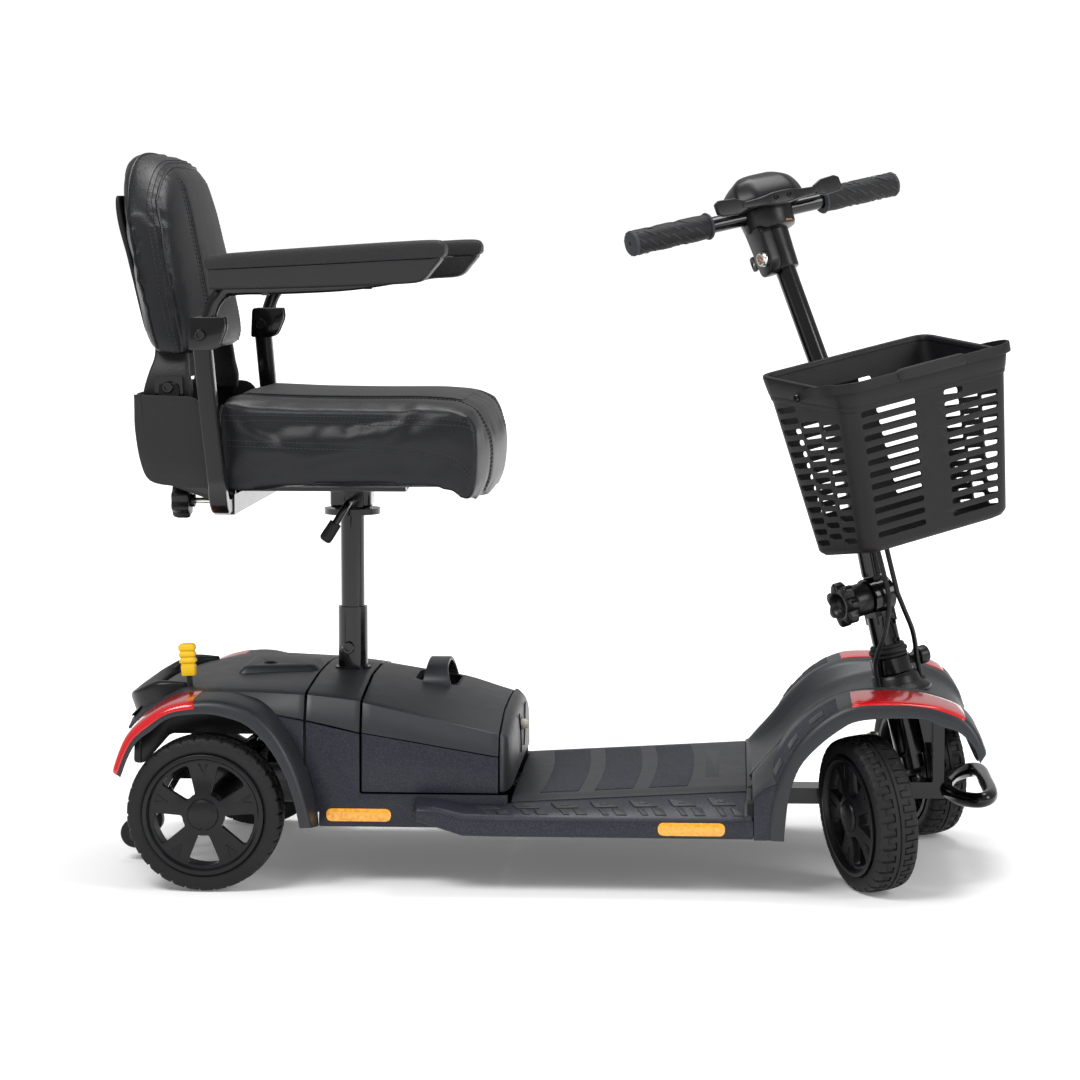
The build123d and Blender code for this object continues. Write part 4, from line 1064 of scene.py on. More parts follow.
# Seat cushion: a waterfall nose, and a cover that hangs down at the sides.
seat_outline = ((0.02, 0.53, 0.506), (0.1, 0.533, 0.517), (0.2, 0.533, 0.52), (0.3, 0.533, 0.515),
    (0.338, 0.529, 0.505), (0.344, 0.506, 0.501), (0.356, 0.499, 0.498), (0.364, 0.52, 0.52),
    (0.3675, 0.56, 0.56), (0.3665, 0.596, 0.594), (0.356, 0.615, 0.611), (0.33, 0.6235, 0.619),
    (0.28, 0.6265, 0.6235), (0.2, 0.626, 0.625), (0.12, 0.627, 0.626), (0.06, 0.6295, 0.628),
    (0.022, 0.633, 0.63), (0.0165, 0.615, 0.615), (0.0165, 0.56, 0.55))
ACROSS = 26
seat_rows = []
for i in range(ACROSS + 1):
    share = -1 + 2 * i / ACROSS
    side_share = max(0, (abs(share) - 0.88) / 0.12)
    pull = abs(share) ** 8 * 0.07
    row = []
    for x, z, hem in seat_outline:
        nose = 0.012 * share**2 * max(0, (x - 0.25) / 0.12)
        low = z + (hem - z) * side_share
        crown = 0.006 * (1 - share**2) if z > 0.6 else 0
        row.append(Vector((REAR_AXLE_X + 0.19 + (x - nose - 0.19) * (1 - pull * 0.15),
            (SEAT_HALF - 0.002) * share, 0.575 + (low - 0.575) * (1 - pull * 0.6) + crown)))
    seat_rows.append(row)
seat_pad = puffed("seat_pad", solid(seat_rows), 0.005, 4, 0.0055)
SEAM_Y = SEAT_HALF + 0.003


def side_seams(side):
    """The two sewn lines along one side of the seat cushion."""
    upper = [(0.02, 0.613), (0.12, 0.6115), (0.25, 0.61), (0.33, 0.607), (0.36, 0.598)]
    lower = [(0.02, 0.58), (0.12, 0.577), (0.26, 0.572), (0.325, 0.556), (0.358, 0.525)]
    return [spline([station(x, side * SEAM_Y, z) for x, z in points], 18) for points in (upper, lower)]


def panel_seam(side):
    return spline([station(0.022, side * 0.15, 0.64), station(0.2, side * 0.154, 0.634),
        station(0.33, side * 0.15, 0.63), station(0.368, side * 0.146, 0.6),
        station(0.372, side * 0.14, 0.56), station(0.362, side * 0.134, 0.506)], 22)


for side in (-1, 1):
    for line in side_seams(side):
        grooved(seat_pad, line, 0.0022, 0.007)
    grooved(seat_pad, panel_seam(side), 0.005, 0.013)
soft_piece(seat_pad, VINYL, "seat", ["seat_cushion"])


def on_pad(obj, points, lift=0.0006):
    """The points moved onto the pad's skin."""
    landed = []
    inverse = obj.matrix_world.inverted()
    for p in points:
        spot, normal = obj.closest_point_on_mesh(inverse @ Vector(p))[1:3]
        landed.append(obj.matrix_world @ (spot + normal * lift))
    return landed


seat_seams, seat_threads = [], []
for side in (-1, 1):
    for line in side_seams(side):
        for offset in (-0.0035, 0.0035):
            seat_threads.append(stitches(on_pad(seat_pad, [p + Vector((0, 0, offset)) for p in line],
                0.0003)))
    edge = spline([station(0.016, side * (SEAT_HALF - 0.006), 0.632), station(0.015, side * SEAT_HALF, 0.6),
        station(0.015, side * SEAT_HALF, 0.52)], 12)
    seat_seams.append(seam_line(on_pad(seat_pad, edge, 0.0008), 0.0022))
    for offset in (-0.007, 0.007):
        seat_threads.append(stitches(on_pad(seat_pad, [p + Vector((0, offset, 0)) for p in panel_seam(side)],
            0.0003)))
piece("seat_piping", joined(*seat_seams), VINYL, "seat", "vinyl")
piece("seat_stitching", joined(*seat_threads), THREAD, "seat", "vinyl")

# Plastic shell under and behind the cushion, with a rolled rim.
pan_path = ((0.336, 0.527), (0.32, 0.5235), (0.2, 0.5222), (0.08, 0.5222), (0.0, 0.524), (-0.04, 0.529),
    (-0.066, 0.548), (-0.079, 0.58), (-0.086, 0.62), (-0.089, 0.642))
pan_rows = []
for x, z in [tuple(p)[:2] for p in spline([(*p, 0) for p in pan_path], 4)]:
    up_share = min(max((0.02 - x) / 0.1, 0), 1)
    half = 0.22 + 0.013 * up_share
    row = []
    for y, lift, push in ((0, 0, 0), (0.1, 0, 0), (0.18, 0.0, 0.0), (0.198, 0.0008, 0.001),
            (0.21, 0.0035, 0.003), (half - 0.004, 0.007, 0.006), (half, 0.012, 0.01)):
        row.append(Vector((x + push * up_share, y, z + lift * (1 - up_share))))
    pan_rows.append(both(row))
sheet_piece("seat_pan", pan_rows, SHELL, "black_plastic", 0.004, body="seat", bevel=0.0012,
    replaces=["seat_shell"])
wings = []
for side in (-1, 1):
    rows = []
    for x, low, high, out in ((-0.087, 0.625, 0.6415, -0.004), (-0.0855, 0.592, 0.6415, 0.001),
            (-0.08, 0.556, 0.6415, 0.003), (-0.068, 0.531, 0.641, 0.004), (-0.035, 0.524, 0.64, 0.004),
            (-0.008, 0.522, 0.636, 0.003), (0.008, 0.523, 0.61, 0.002), (0.018, 0.523, 0.57, 0.001),
            (0.026, 0.523, 0.535, 0.0)):
        rows.append([Vector((x, side * (0.229 + out * math.sin(math.pi * min(s + 0.25, 1) / 1.3)), low
            + (high - low) * s)) for s in (0, 0.25, 0.5, 0.75, 0.93, 1)])
    wings.append(surface(on_chassis(smooth_rows(rows, 4))))
piece("seat_pan_wings", joined(*wings), SHELL, "seat", "black_plastic", thick=0.0045, bevel=0.0014)
for side, hand in SIDES:
    bracket = block(rounded([(-0.06, 0.655), (-0.062, 0.56), (-0.03, 0.52), (0.014, 0.508), (0.036, 0.508),
        (0.036, 0.516), (0.0, 0.528), (-0.03, 0.56), (-0.034, 0.655)], 0.006), side * 0.207, side * 0.2105)
    piece(f"back_bracket_{hand}", bracket, STEEL, "seat", "frame_steel", bevel=0.0008)

# Backrest: a reclined pad with an arched top, boxed sides and a striped centre panel.
BACK_HALF = 0.219
BACK_FOOT, BACK_TOP, RECLINE = 0.69, 0.957, 0.205
back_profile = (
    (-0.058, 0.69, 0), (-0.03, 0.688, 0.3), (-0.021, 0.696, 1), (-0.019, 0.74, 1), (-0.019, 0.82, 1),
    (-0.02, 0.88, 1), (-0.024, 0.918, 1), (-0.032, 0.939, 0.9), (-0.043, 0.952, 0.6), (-0.056, 0.957, 0.2),
    (-0.066, 0.95, 0), (-0.071, 0.932, 0), (-0.072, 0.88, 0), (-0.072, 0.8, 0), (-0.071, 0.72, 0),
    (-0.068, 0.696, 0))


def back_spot(share, x, z, front=0.0):
    """A point of the reclined backrest; share runs from right to left, front swells it forward."""
    high = (z - BACK_FOOT) / (BACK_TOP - BACK_FOOT)
    arch = max(0, (abs(share) - 0.3) / 0.7) ** 2.3
    half = BACK_HALF * (1 - 0.1 * max(high, 0) ** 3) * (0.965 + 0.035 * min(1, max(high, 0) * 3))
    drop = 0.078 * arch * max(high, 0) ** 1.5
    swell = 0.027 * front * (1 - share**2)
    low = z - drop
    return Vector((REAR_AXLE_X + x + swell - RECLINE * (low - BACK_FOOT), half * share, low))


back_rows = []
for i in range(29):
    share = -1 + 2 * i / 28
    close = 1 - 0.22 * abs(share) ** 12
    back_rows.append([back_spot(share, -0.046 + (x + 0.046) * close, z, front)
        for x, z, front in back_profile])
back_pad = puffed("backrest_pad", solid(back_rows), 0.004, 4, 0.0055)


def back_edge(share, low=0.694, high=0.935, x=-0.01, front=1.0, steps=22):
    return [back_spot(share * (1 - 0.1 * (i / steps) ** 3), x, low + (high - low) * i / steps, front)
        for i in range(steps + 1)]


def boxing(share, x, high):
    """A seam up one side of the pad, over its arched top and down the other side."""
    up = back_edge(-share, x=x, high=high, front=0.5)
    over = [back_spot(-share * (1 - 0.1) * (1 - 2 * i / 24), x, high, 0.5 + 0.5 * math.sin(math.pi * i / 24))
        for i in range(1, 24)]
    return up + over + back_edge(share, x=x, high=high, front=0.5)[::-1]


for side in (-1, 1):
    grooved(back_pad, back_edge(0.56 * side), 0.0045, 0.012)
grooved(back_pad, boxing(0.97, -0.026, 0.938), 0.003, 0.008)
soft_piece(back_pad, VINYL, "backrest", ["backrest_cushion"])
centre_rows = []
for i in range(23):
    z = 0.7 + 0.222 * i / 22
    half = 0.525 * (1 - 0.1 * (i / 22) ** 3)
    centre_rows.append(on_pad(back_pad, [back_spot(half * (-1 + 2 * j / 18), 0.0, z, 1) for j in range(19)],
        0.0002))
piece("backrest_panel", surface(centre_rows), PANEL, "backrest", "vinyl", thick=0.0008, bevel=0.0002)
panel_rows = []
for i in range(21):
    x = 0.03 + 0.3 * i / 20
    panel_rows.append(on_pad(seat_pad, [station(x, 0.139 * (-1 + 2 * j / 16), 0.64) for j in range(17)],
        0.0008))
piece("seat_panel", surface(panel_rows), PANEL, "seat", "vinyl", thick=0.0014, bevel=0.0004)
back_lines = [back_edge(share * side) for side in (-1, 1) for share in (0.585, 0.535)]
back_lines += [boxing(1.01, x, 0.943) for x in (-0.032, -0.039)]
back_threads = [stitches(on_pad(back_pad, line, 0.0003)) for line in back_lines]
back_seams = [seam_line(on_pad(back_pad, boxing(share, x, high), 0.0004), radius)
    for share, x, high, radius in ((0.98, -0.026, 0.938, 0.0019), (1.03, -0.066, 0.95, 0.0018))]
piece("backrest_stitching", joined(*back_threads), THREAD, "backrest", "vinyl")
piece("backrest_piping", joined(*back_seams), VINYL, "backrest", "vinyl")

# Backrest shell with two legs that flare down to the seat, and a fabric pocket behind it.
shell_rows = []
for x, z, wide in ((-0.066, 0.652, 0.15), (-0.07, 0.69, 0.165), (-0.0735, 0.72, 0.185), (-0.0735, 0.8, 0.194),
        (-0.0735, 0.88, 0.186), (-0.072, 0.92, 0.166), (-0.067, 0.94, 0.142), (-0.06, 0.947, 0.122)):
    row = []
    for share in (0, 0.4, 0.7, 0.88, 0.97, 1.0):
        drop = 0.05 * max(0, (share - 0.6) / 0.4) ** 2 * max(0, (z - 0.85) / 0.11)
        low = z - drop
        row.append(Vector((x + 0.012 * share**5 - RECLINE * max(0, low - BACK_FOOT), wide * share, low)))
    shell_rows.append(both(row))
sheet_piece("back_shell", smooth_rows(shell_rows, 4), SHELL, "black_plastic", 0.004, body="backrest",
    bevel=0.0012, replaces=["backrest_shell"])
legs = []
for side in (-1, 1):
    rows = []
    for x, z, long, deep, y in ((-0.05, 0.716, 0.04, 0.014, 0.176), (-0.047, 0.69, 0.044, 0.015, 0.183),
            (-0.049, 0.67, 0.052, 0.016, 0.19), (-0.05, 0.65, 0.062, 0.016, 0.1925),
            (-0.052, 0.632, 0.064, 0.012, 0.193)):
        outline = rectangle(long, deep, 0.005)
        rows.append([station(x + p[0], side * y + p[1], z) for p in outline])
    legs.append(solid(smooth_rows(rows, 4)))
piece("back_legs", joined(*legs), SHELL, "backrest", "black_plastic", bevel=0.001)
pivots = [bolt(station(-0.048, side * 0.2106, 0.65), (0, side, 0), 0.0075, 0.005) for side in (-1, 1)]
piece("back_pivot_bolts", joined(*pivots), STEEL, "seat", "bare_steel")
pocket_rows = []
for z, deep, wide in ((0.72, 0.004, 0.15), (0.724, 0.006, 0.156), (0.78, 0.007, 0.16), (0.816, 0.008, 0.16),
        (0.83, 0.009, 0.16), (0.856, 0.011, 0.16), (0.878, 0.01, 0.159), (0.893, 0.007, 0.157),
        (0.897, 0.004, 0.152)):
    outline = rectangle(deep, wide * 2, min(deep * 0.45, 0.008), (-deep / 2, 0), 4)
    pocket_rows.append([station(-0.0757 - RECLINE * (z - BACK_FOOT) + p[0], p[1], z) for p in outline])
pocket = blank("back_pocket", solid(smooth_rows(pocket_rows, 3)))
soft_piece(pocket, SOFT_BLACK, "backrest", levels=1)

# Armrests.
ARM_PAD_Y, ARM_HINGE_Y, ARM_KNOB_Y = 0.285, 0.262, 0.15
ARM_SLIDE_Z = 0.499


def arm_row(side, x, low, high, under, over, low_radius, high_radius):
    """A section across an armrest, from its half widths and corner radii below and above."""
    outline = rounded([(-under, low), (under, low), (over, high), (-over, high)],
        [low_radius, low_radius, high_radius, high_radius], 4)
    return [station(x, side * ARM_PAD_Y + p[0], p[1]) for p in outline]


for side, hand in SIDES:
    pad_rows = []
    for x, low, high, half in ((0.017, 0.8055, 0.813, 0.025), (0.0195, 0.8025, 0.8175, 0.0285),
            (0.026, 0.802, 0.821, 0.03), (0.08, 0.8045, 0.8255, 0.0305), (0.18, 0.8095, 0.8325, 0.0305),
            (0.26, 0.814, 0.8375, 0.0305), (0.3, 0.816, 0.8395, 0.03), (0.315, 0.8175, 0.838, 0.0285),
            (0.32, 0.822, 0.831, 0.025)):
        pad_rows.append(arm_row(side, x, low, high, half, half, 0.003, 0.01))
    pad = blank(f"arm_pad_{hand}", solid(smooth_rows(pad_rows, 6)))
    soft_piece(pad, PAD, f"armrest_{hand}", [f"armrest_{hand}"], levels=1)
    tray_rows = []
    for x, low, high, half in ((0.024, 0.779, 0.801, 0.0265), (0.028, 0.777, 0.802, 0.0285),
            (0.1, 0.778, 0.8055, 0.029), (0.18, 0.7805, 0.8095, 0.029), (0.262, 0.784, 0.814, 0.029),
            (0.29, 0.788, 0.8155, 0.0285), (0.304, 0.802, 0.8165, 0.0275), (0.314, 0.814, 0.818, 0.0265)):
        tray_rows.append(arm_row(side, x, low, high, half * 0.78, half, 0.006, 0.002))
    piece(f"arm_tray_{hand}", solid(smooth_rows(tray_rows, 4)), SHELL, f"armrest_{hand}", "black_plastic",
          bevel=0.001)
    y = side * ARM_HINGE_Y
    elbow = spline([station(0.01, y, 0.722), station(0.015, y, 0.742), station(0.023, y, 0.762),
        station(0.036, y, 0.775), station(0.06, y + side * 0.01, 0.779),
        station(0.11, y + side * 0.018, 0.78), station(0.2, y + side * 0.02, 0.785),
        station(0.285, y + side * 0.02, 0.798)], 6)
    piece(f"arm_tube_{hand}", tube(elbow, 0.0092, 20), STEEL, f"armrest_{hand}", "frame_steel")
    tab = block(rounded([(-0.006, 0.708), (0.016, 0.708), (0.024, 0.738), (0.002, 0.742)], 0.007), y - 0.007,
        y + 0.007)
    piece(f"arm_tab_{hand}", tab, STEEL, f"armrest_{hand}", "frame_steel", bevel=0.0012)
    screws = [bolt(station(px, y + side * 0.0175, 0.7735 + (px - 0.09) * 0.06), (0, 0, -1), 0.0055, 0.004)
        for px in (0.09, 0.22)]
    screws += [bolt(station(0.005, y + offset * 0.0122, 0.719), (0, offset, 0), 0.0075, 0.005)
        for offset in (-1, 1)]
    piece(f"arm_screws_{hand}", joined(*screws), STEEL, f"armrest_{hand}", "bare_steel")
    upright = [station(0.006, y, 0.711), station(0.015, y, 0.61), station(0.0235, y, 0.535)]
    corner = [station(0.0245, y - side * 0.03 * (1 - math.cos(a)), 0.529 - 0.03 * math.sin(a))
        for a in [math.radians(15 * k) for k in range(7)]]
    piece(f"arm_upright_{hand}", sweep(upright + corner + [station(0.025, side * 0.205, ARM_SLIDE_Z)],
        rectangle(0.021, 0.023, 0.0035), up=(1, 0, 0)), STEEL, f"arm_post_{hand}", "frame_steel",
        replaces=[f"arm_post_{hand}"])
    slide = prism(rectangle(0.0196, 0.0196, 0.002, (0.025 + REAR_AXLE_X, ARM_SLIDE_Z)),
        *sorted((side * 0.072, side * 0.212)))
    piece(f"arm_slide_{hand}", slide, SILVER, f"arm_post_{hand}", "silver", bevel=0.0004)
    plate = rounded([(-0.01, 0.7), (0.026, 0.7), (0.038, 0.728), (0.036, 0.742), (-0.008, 0.742)],
        [0.004, 0.01, 0.006, 0.002, 0.006])
    plates = [block(plate, y + way * 0.0083, y + way * 0.0118) for way in (side, -side)]
    piece(f"arm_hinge_plates_{hand}", joined(*plates), STEEL, f"arm_post_{hand}", "frame_steel", bevel=0.0008)
    knob = []
    for level, grow in ((-0.053, 0.84), (-0.051, 0.94), (-0.046, 1.0), (-0.034, 1.0), (-0.03, 0.94),
            (-0.0295, 0.5)):
        row = []
        for i in range(84):
            a = math.tau * i / 84
            r = 0.0215 + 0.0018 * math.cos(7 * a)
            row.append(station(level, side * ARM_KNOB_Y + r * grow * math.cos(a), ARM_SLIDE_Z
                + r * grow * math.sin(a)))
        knob.append(row)
    neck = tube([station(-0.03, side * ARM_KNOB_Y, ARM_SLIDE_Z), station(-0.024, side * ARM_KNOB_Y,
        ARM_SLIDE_Z)], 0.0085, 24)
    shaft = tube([station(-0.024, side * ARM_KNOB_Y, ARM_SLIDE_Z),
        station(0.01, side * ARM_KNOB_Y, ARM_SLIDE_Z)], 0.0039, 16)
    piece(f"arm_knob_grip_{hand}", joined(solid(knob), neck), BLACK, f"arm_knob_{hand}", "black_plastic",
          bevel=0.0006, replaces=[f"arm_knob_{hand}"])
    piece(f"arm_knob_shaft_{hand}", shaft, BRIGHT, f"arm_knob_{hand}", "bare_steel", bevel=0.0003)

# Swivel block and release lever under the seat.
LEVER_TIP_Y = -0.12
swivel = []
for level, wide, deep in ((0.4795, 0.052, 0.05), (0.484, 0.056, 0.054), (0.504, 0.056, 0.054),
        (0.51, 0.064, 0.062)):
    swivel.append([station(POST_X + p[0], p[1], level) for p in rectangle(wide, deep, 0.01)])
piece("swivel_block", solid(swivel), STEEL, "seat", "frame_steel", bevel=0.0012)
rails = []
for y in (-0.092, 0.092):
    rails.append(block(rounded([(0.036, 0.508), (0.25, 0.508), (0.25, 0.52), (0.036, 0.52)], 0.003),
        y - 0.014, y + 0.014))
piece("seat_rails", joined(*rails), STEEL, "seat", "frame_steel", bevel=0.001)
lever = spline([station(0.172, -0.03, 0.492), station(0.172, -0.095, 0.492), station(0.17, -0.116, 0.489),
    station(0.16, LEVER_TIP_Y, 0.472), station(0.146, LEVER_TIP_Y, 0.45)], 6)
piece("swivel_lever_rod", tube(lever, 0.005, 16), STEEL, "swivel_release", "frame_steel",
    replaces=["swivel_lever"])
tip = [station(0.157, LEVER_TIP_Y, 0.467), station(0.156, LEVER_TIP_Y, 0.4655),
    station(0.145, LEVER_TIP_Y, 0.4485), station(0.142, LEVER_TIP_Y, 0.444)]
piece("swivel_lever_tip", tube(spline(tip, 3), 0.0082, 24, [0.75, 0.9, 1, 1, 1.02, 1.04, 1.04, 1.0, 0.9,
    0.75]), RUBBER, "swivel_release", "black_rubber", bevel=0.0008)
bolt_spot = station(POST_X - 0.004, -0.0205, 0.289)
piece("post_bolt", bolt(bolt_spot, (0, -1, 0), 0.0085, 0.006), STEEL, "chassis", "bare_steel")

# ---------------------------------------------------------------- steering frames

TILLER_LOCK = math.radians(58)
column_joint = JOINTS["steering_turn"]
column_up = Vector(column_joint["axis"]).normalized()
column_rake = math.atan2(-column_up.x, column_up.z)
column_ahead = Vector((math.cos(column_rake) * math.cos(TILLER_LOCK), -math.sin(TILLER_LOCK),
    math.sin(column_rake) * math.cos(TILLER_LOCK)))
STEER = Matrix.Translation(Vector(column_joint["pos_m"])) @ Matrix(
    (column_ahead, column_up.cross(column_ahead), column_up)).transposed().to_4x4()
FOLD_LEVEL = 0.098
LOWER_LEAN, UPPER_LEAN = math.radians(2.9), math.radians(13.4)
elbow = Vector((math.sin(LOWER_LEAN), 0, math.cos(LOWER_LEAN))) * 0.225 + Vector((0, 0, FOLD_LEVEL))
tube_up = Vector((-math.sin(UPPER_LEAN), 0, math.cos(UPPER_LEAN)))
tube_ahead = Vector((math.cos(UPPER_LEAN), 0, math.sin(UPPER_LEAN)))
head_spot = elbow + tube_up * 0.316
HEAD = STEER @ Matrix.Translation(head_spot) @ Matrix((tube_ahead, Vector((0, 1, 0)),
    tube_up)).transposed().to_4x4()


def along_y(shape, side=1):
    """A lathed shape laid along local Y, its height pointing to that side."""
    turn = Matrix(((1, 0, 0, 0), (0, 0, side, 0), (0, -side, 0, 0), (0, 0, 0, 1)))
    return moved(shape, turn)


# ---------------------------------------------------------------- tiller head

pod_rows = []
for level, back, front, wide, radius in ((0.006, -0.04, 0.04, 0.048, 0.01),
        (0.0085, -0.044, 0.0435, 0.052, 0.011), (0.016, -0.045, 0.044, 0.053, 0.012),
        (0.028, -0.044, 0.04, 0.0505, 0.012), (0.037, -0.041, 0.033, 0.0455, 0.013),
        (0.045, -0.035, 0.024, 0.037, 0.013), (0.05, -0.029, 0.016, 0.029, 0.012),
        (0.0515, -0.022, 0.01, 0.022, 0.01)):
    outline = rounded([(back, -wide * 0.86), (front * 0.62, -wide), (front, -wide * 0.58),
        (front, wide * 0.58), (front * 0.62, wide), (back, wide * 0.86)],
        [radius, radius * 0.5, radius * 0.6, radius * 0.6, radius * 0.5, radius], 4)
    pod_rows.append([Vector((p[0], p[1], level + 0.1 * p[0] * (level > 0.03))) for p in outline])
bar_hole = along_y(prism(circle(0.0112, 24), -0.08, 0.08, "Z"))
piece("head_pod", solid(smooth_rows(pod_rows, 4)), BLACK, "tiller", "black_plastic", HEAD,
      bevel=0.0014, cuts=bar_hole, replaces=["tiller_head"], angle=32)
seam = [[Vector((p.x * 0.97, p.y * 0.97, level)) for p in pod_rows[0]] for level in (0.003, 0.0068)]
piece("head_seam", solid(seam), SOFT_BLACK, "tiller", "black_plastic", HEAD, bevel=0.0006)
cup_profile = [(0, 0.0032), (0.037, 0.0032), (0.038, 0.0015), (0.0365, -0.01), (0.035, -0.023),
    (0.033, -0.0262), (0.024, -0.0285), (0, -0.0285)]
contact_place = Matrix.Rotation(math.radians(24), 4, "Z") @ at(0, 0, -0.0225)
slot_cut = moved(prism(rectangle(0.017, 0.005, 0.002), 0.031, 0.05, "X"), contact_place)
piece("head_cup", lathe(cup_profile, 64), BLACK, "tiller", "black_plastic", HEAD, bevel=0.001,
    cuts=joined(slot_cut, bar_hole))
contact = moved(prism(rectangle(0.015, 0.0034, 0.0012), 0.03, 0.0338, "X"), contact_place)
piece("head_contact", contact, COPPER, "tiller", "bare_steel", HEAD, bevel=0.0003)
neck = [(0, -0.025), (0.0225, -0.025), (0.0222, -0.03), (0.0205, -0.06), (0.0196, -0.08), (0.0186, -0.0825),
        (0.0146, -0.0825), (0, -0.081)]
piece("head_neck", lathe(neck, 56), BLACK, "tiller", "black_plastic", HEAD, bevel=0.0008)
plate = rounded([(-0.01, -0.086), (0.014, -0.086), (0.026, -0.072), (0.028, -0.028), (0.022, -0.02),
    (-0.014, -0.02)], [0.01, 0.01, 0.006, 0.006, 0.004, 0.004], 5)
key_box = prism(plate, -0.034, -0.0165)
piece("key_box", key_box, BLACK, "tiller", "black_plastic", HEAD, bevel=0.0028, segments=3)
charger = [(0, 0), (0.0105, 0), (0.0105, 0.003), (0.0088, 0.0048), (0.0088, 0.007), (0.007, 0.007),
    (0.007, 0.0025), (0, 0.0025)]
charger_place = HEAD @ at(0.012, -0.0335, -0.064)
piece("charger_socket", along_y(lathe(charger, 40), -1), BRIGHT, "tiller", "bare_steel", charger_place,
    bevel=0.0004)
pins = [along_y(moved(lathe([(0, 0), (0.0012, 0), (0.0012, 0.0058), (0, 0.006)], 12), at(x, y, 0.002)), -1)
        for x, y in ((0.0034, 0), (-0.0018, 0.003), (-0.0018, -0.003))]
piece("charger_pins", joined(*pins), COPPER, "tiller", "bare_steel", charger_place)
dial = [(0.015, 0.0), (0.015, 0.004), (0.012, 0.0045), (0.0112, 0.0105), (0.01, 0.012), (0.0001, 0.0122)]
dial_turn = Matrix.Rotation(math.radians(-36), 4, "Y")
piece("speed_dial", lathe([(0, 0)] + dial, 36), BLACK, "tiller", "black_plastic",
      HEAD @ at(-0.031, 0, 0.033) @ dial_turn, bevel=0.0005)
buttons = [moved(prism(rectangle(0.009, 0.009, 0.002), 0, 0.0045, "Z"), at(-0.031, y, 0.033) @ dial_turn)
    for y in (-0.0255, 0.0255)]
piece("head_buttons", joined(*buttons), YELLOW, "tiller", "yellow_plastic", HEAD, bevel=0.0008)
gauge = moved(prism(rectangle(0.01, 0.026, 0.003), 0, 0.002, "Z"), at(-0.012, 0, 0.0478)
    @ Matrix.Rotation(math.radians(-6), 4, "Y"))
piece("charge_gauge", gauge, SOFT_BLACK, "tiller", "black_plastic", HEAD, bevel=0.0008)
socket = along_y(lathe([(0, 0.0), (0.0085, 0.0), (0.0085, 0.0025), (0.006, 0.004), (0, 0.004)], 28))
key_low = at(-0.019, 0, -0.05) @ Matrix.Rotation(math.radians(90), 4, "Z")
piece("key_lock", socket, BRIGHT, "tiller", "bare_steel", HEAD @ key_low, bevel=0.0004)
key_bow = prism(rounded([(-0.056, -0.059), (-0.074, -0.061), (-0.074, -0.039), (-0.056, -0.041)], 0.007, 6),
    -0.0016, 0.0016)
key_blade = prism([(-0.057, -0.053), (-0.057, -0.047), (-0.023, -0.0475), (-0.023, -0.0525)], -0.0009, 0.0009)
bow_hole = prism(circle(0.0028, 16, (-0.069, -0.05)), -0.01, 0.01)
piece("key_bow", key_bow, BLACK, "key", "black_plastic", HEAD, bevel=0.0006, cuts=bow_hole,
    replaces=["ignition_key"])
piece("key_blade", key_blade, BRIGHT, "key", "bare_steel", HEAD, bevel=0.0003)

# Throttle lever: a bridge across the front with a ribbed paddle at each end.
bridge = []
for f, y, u, tall, deep in there_and_back((
        (0.048, -0.062, 0.005, 0.01, 0.0056), (0.048, -0.052, 0.0045, 0.0104, 0.006),
        (0.05, -0.03, 0.004, 0.013, 0.0066), (0.052, -0.015, 0.004, 0.017, 0.007),
        (0.0522, 0, 0.004, 0.018, 0.007))):
    bridge.append([Vector((f + p[0], y, u + p[1])) for p in rectangle(deep, tall, 0.0028)])
piece("throttle_bridge", solid(smooth_rows(bridge, 5)), BLACK, "throttle", "black_plastic", HEAD,
      bevel=0.0008, replaces=["throttle_lever"])
boss = [(0, -0.008), (0.0115, -0.008), (0.0115, 0.008), (0, 0.008)]
piece("throttle_boss", lathe(boss, 32), BLACK, "throttle", "black_plastic", HEAD @ at(0.0475, 0, 0.004) @
      Matrix.Diagonal((0.55, 1.5, 1, 1)), bevel=0.001)
for side, hand in SIDES:
    paddle = []
    for i in range(23):
        share = i / 22
        y = 0.056 + 0.044 * share
        tall = 0.0125 + 0.0105 * min(1, share * 3.2) - 0.008 * max(0, share - 0.86) / 0.14
        deep = 0.006 - (0.001 if 2 < i < 21 and i % 2 else 0)
        outline = rectangle(deep, tall, 0.0026)
        paddle.append([Vector((0.048 - 0.003 * share + p[0], side * y, 0.005 + 0.0035 * share + p[1]))
            for p in outline])
    piece(f"throttle_paddle_{hand}", solid(paddle), BLACK, "throttle", "black_plastic", HEAD,
          bevel=0.0003, angle=50)
screws = [bolt((0.0555, y, 0.0045), (1, 0, 0), 0.0036, 0.0022) for y in (-0.0105, 0.0105)]
piece("throttle_screws", joined(*screws), STEEL, "throttle", "bare_steel", HEAD)

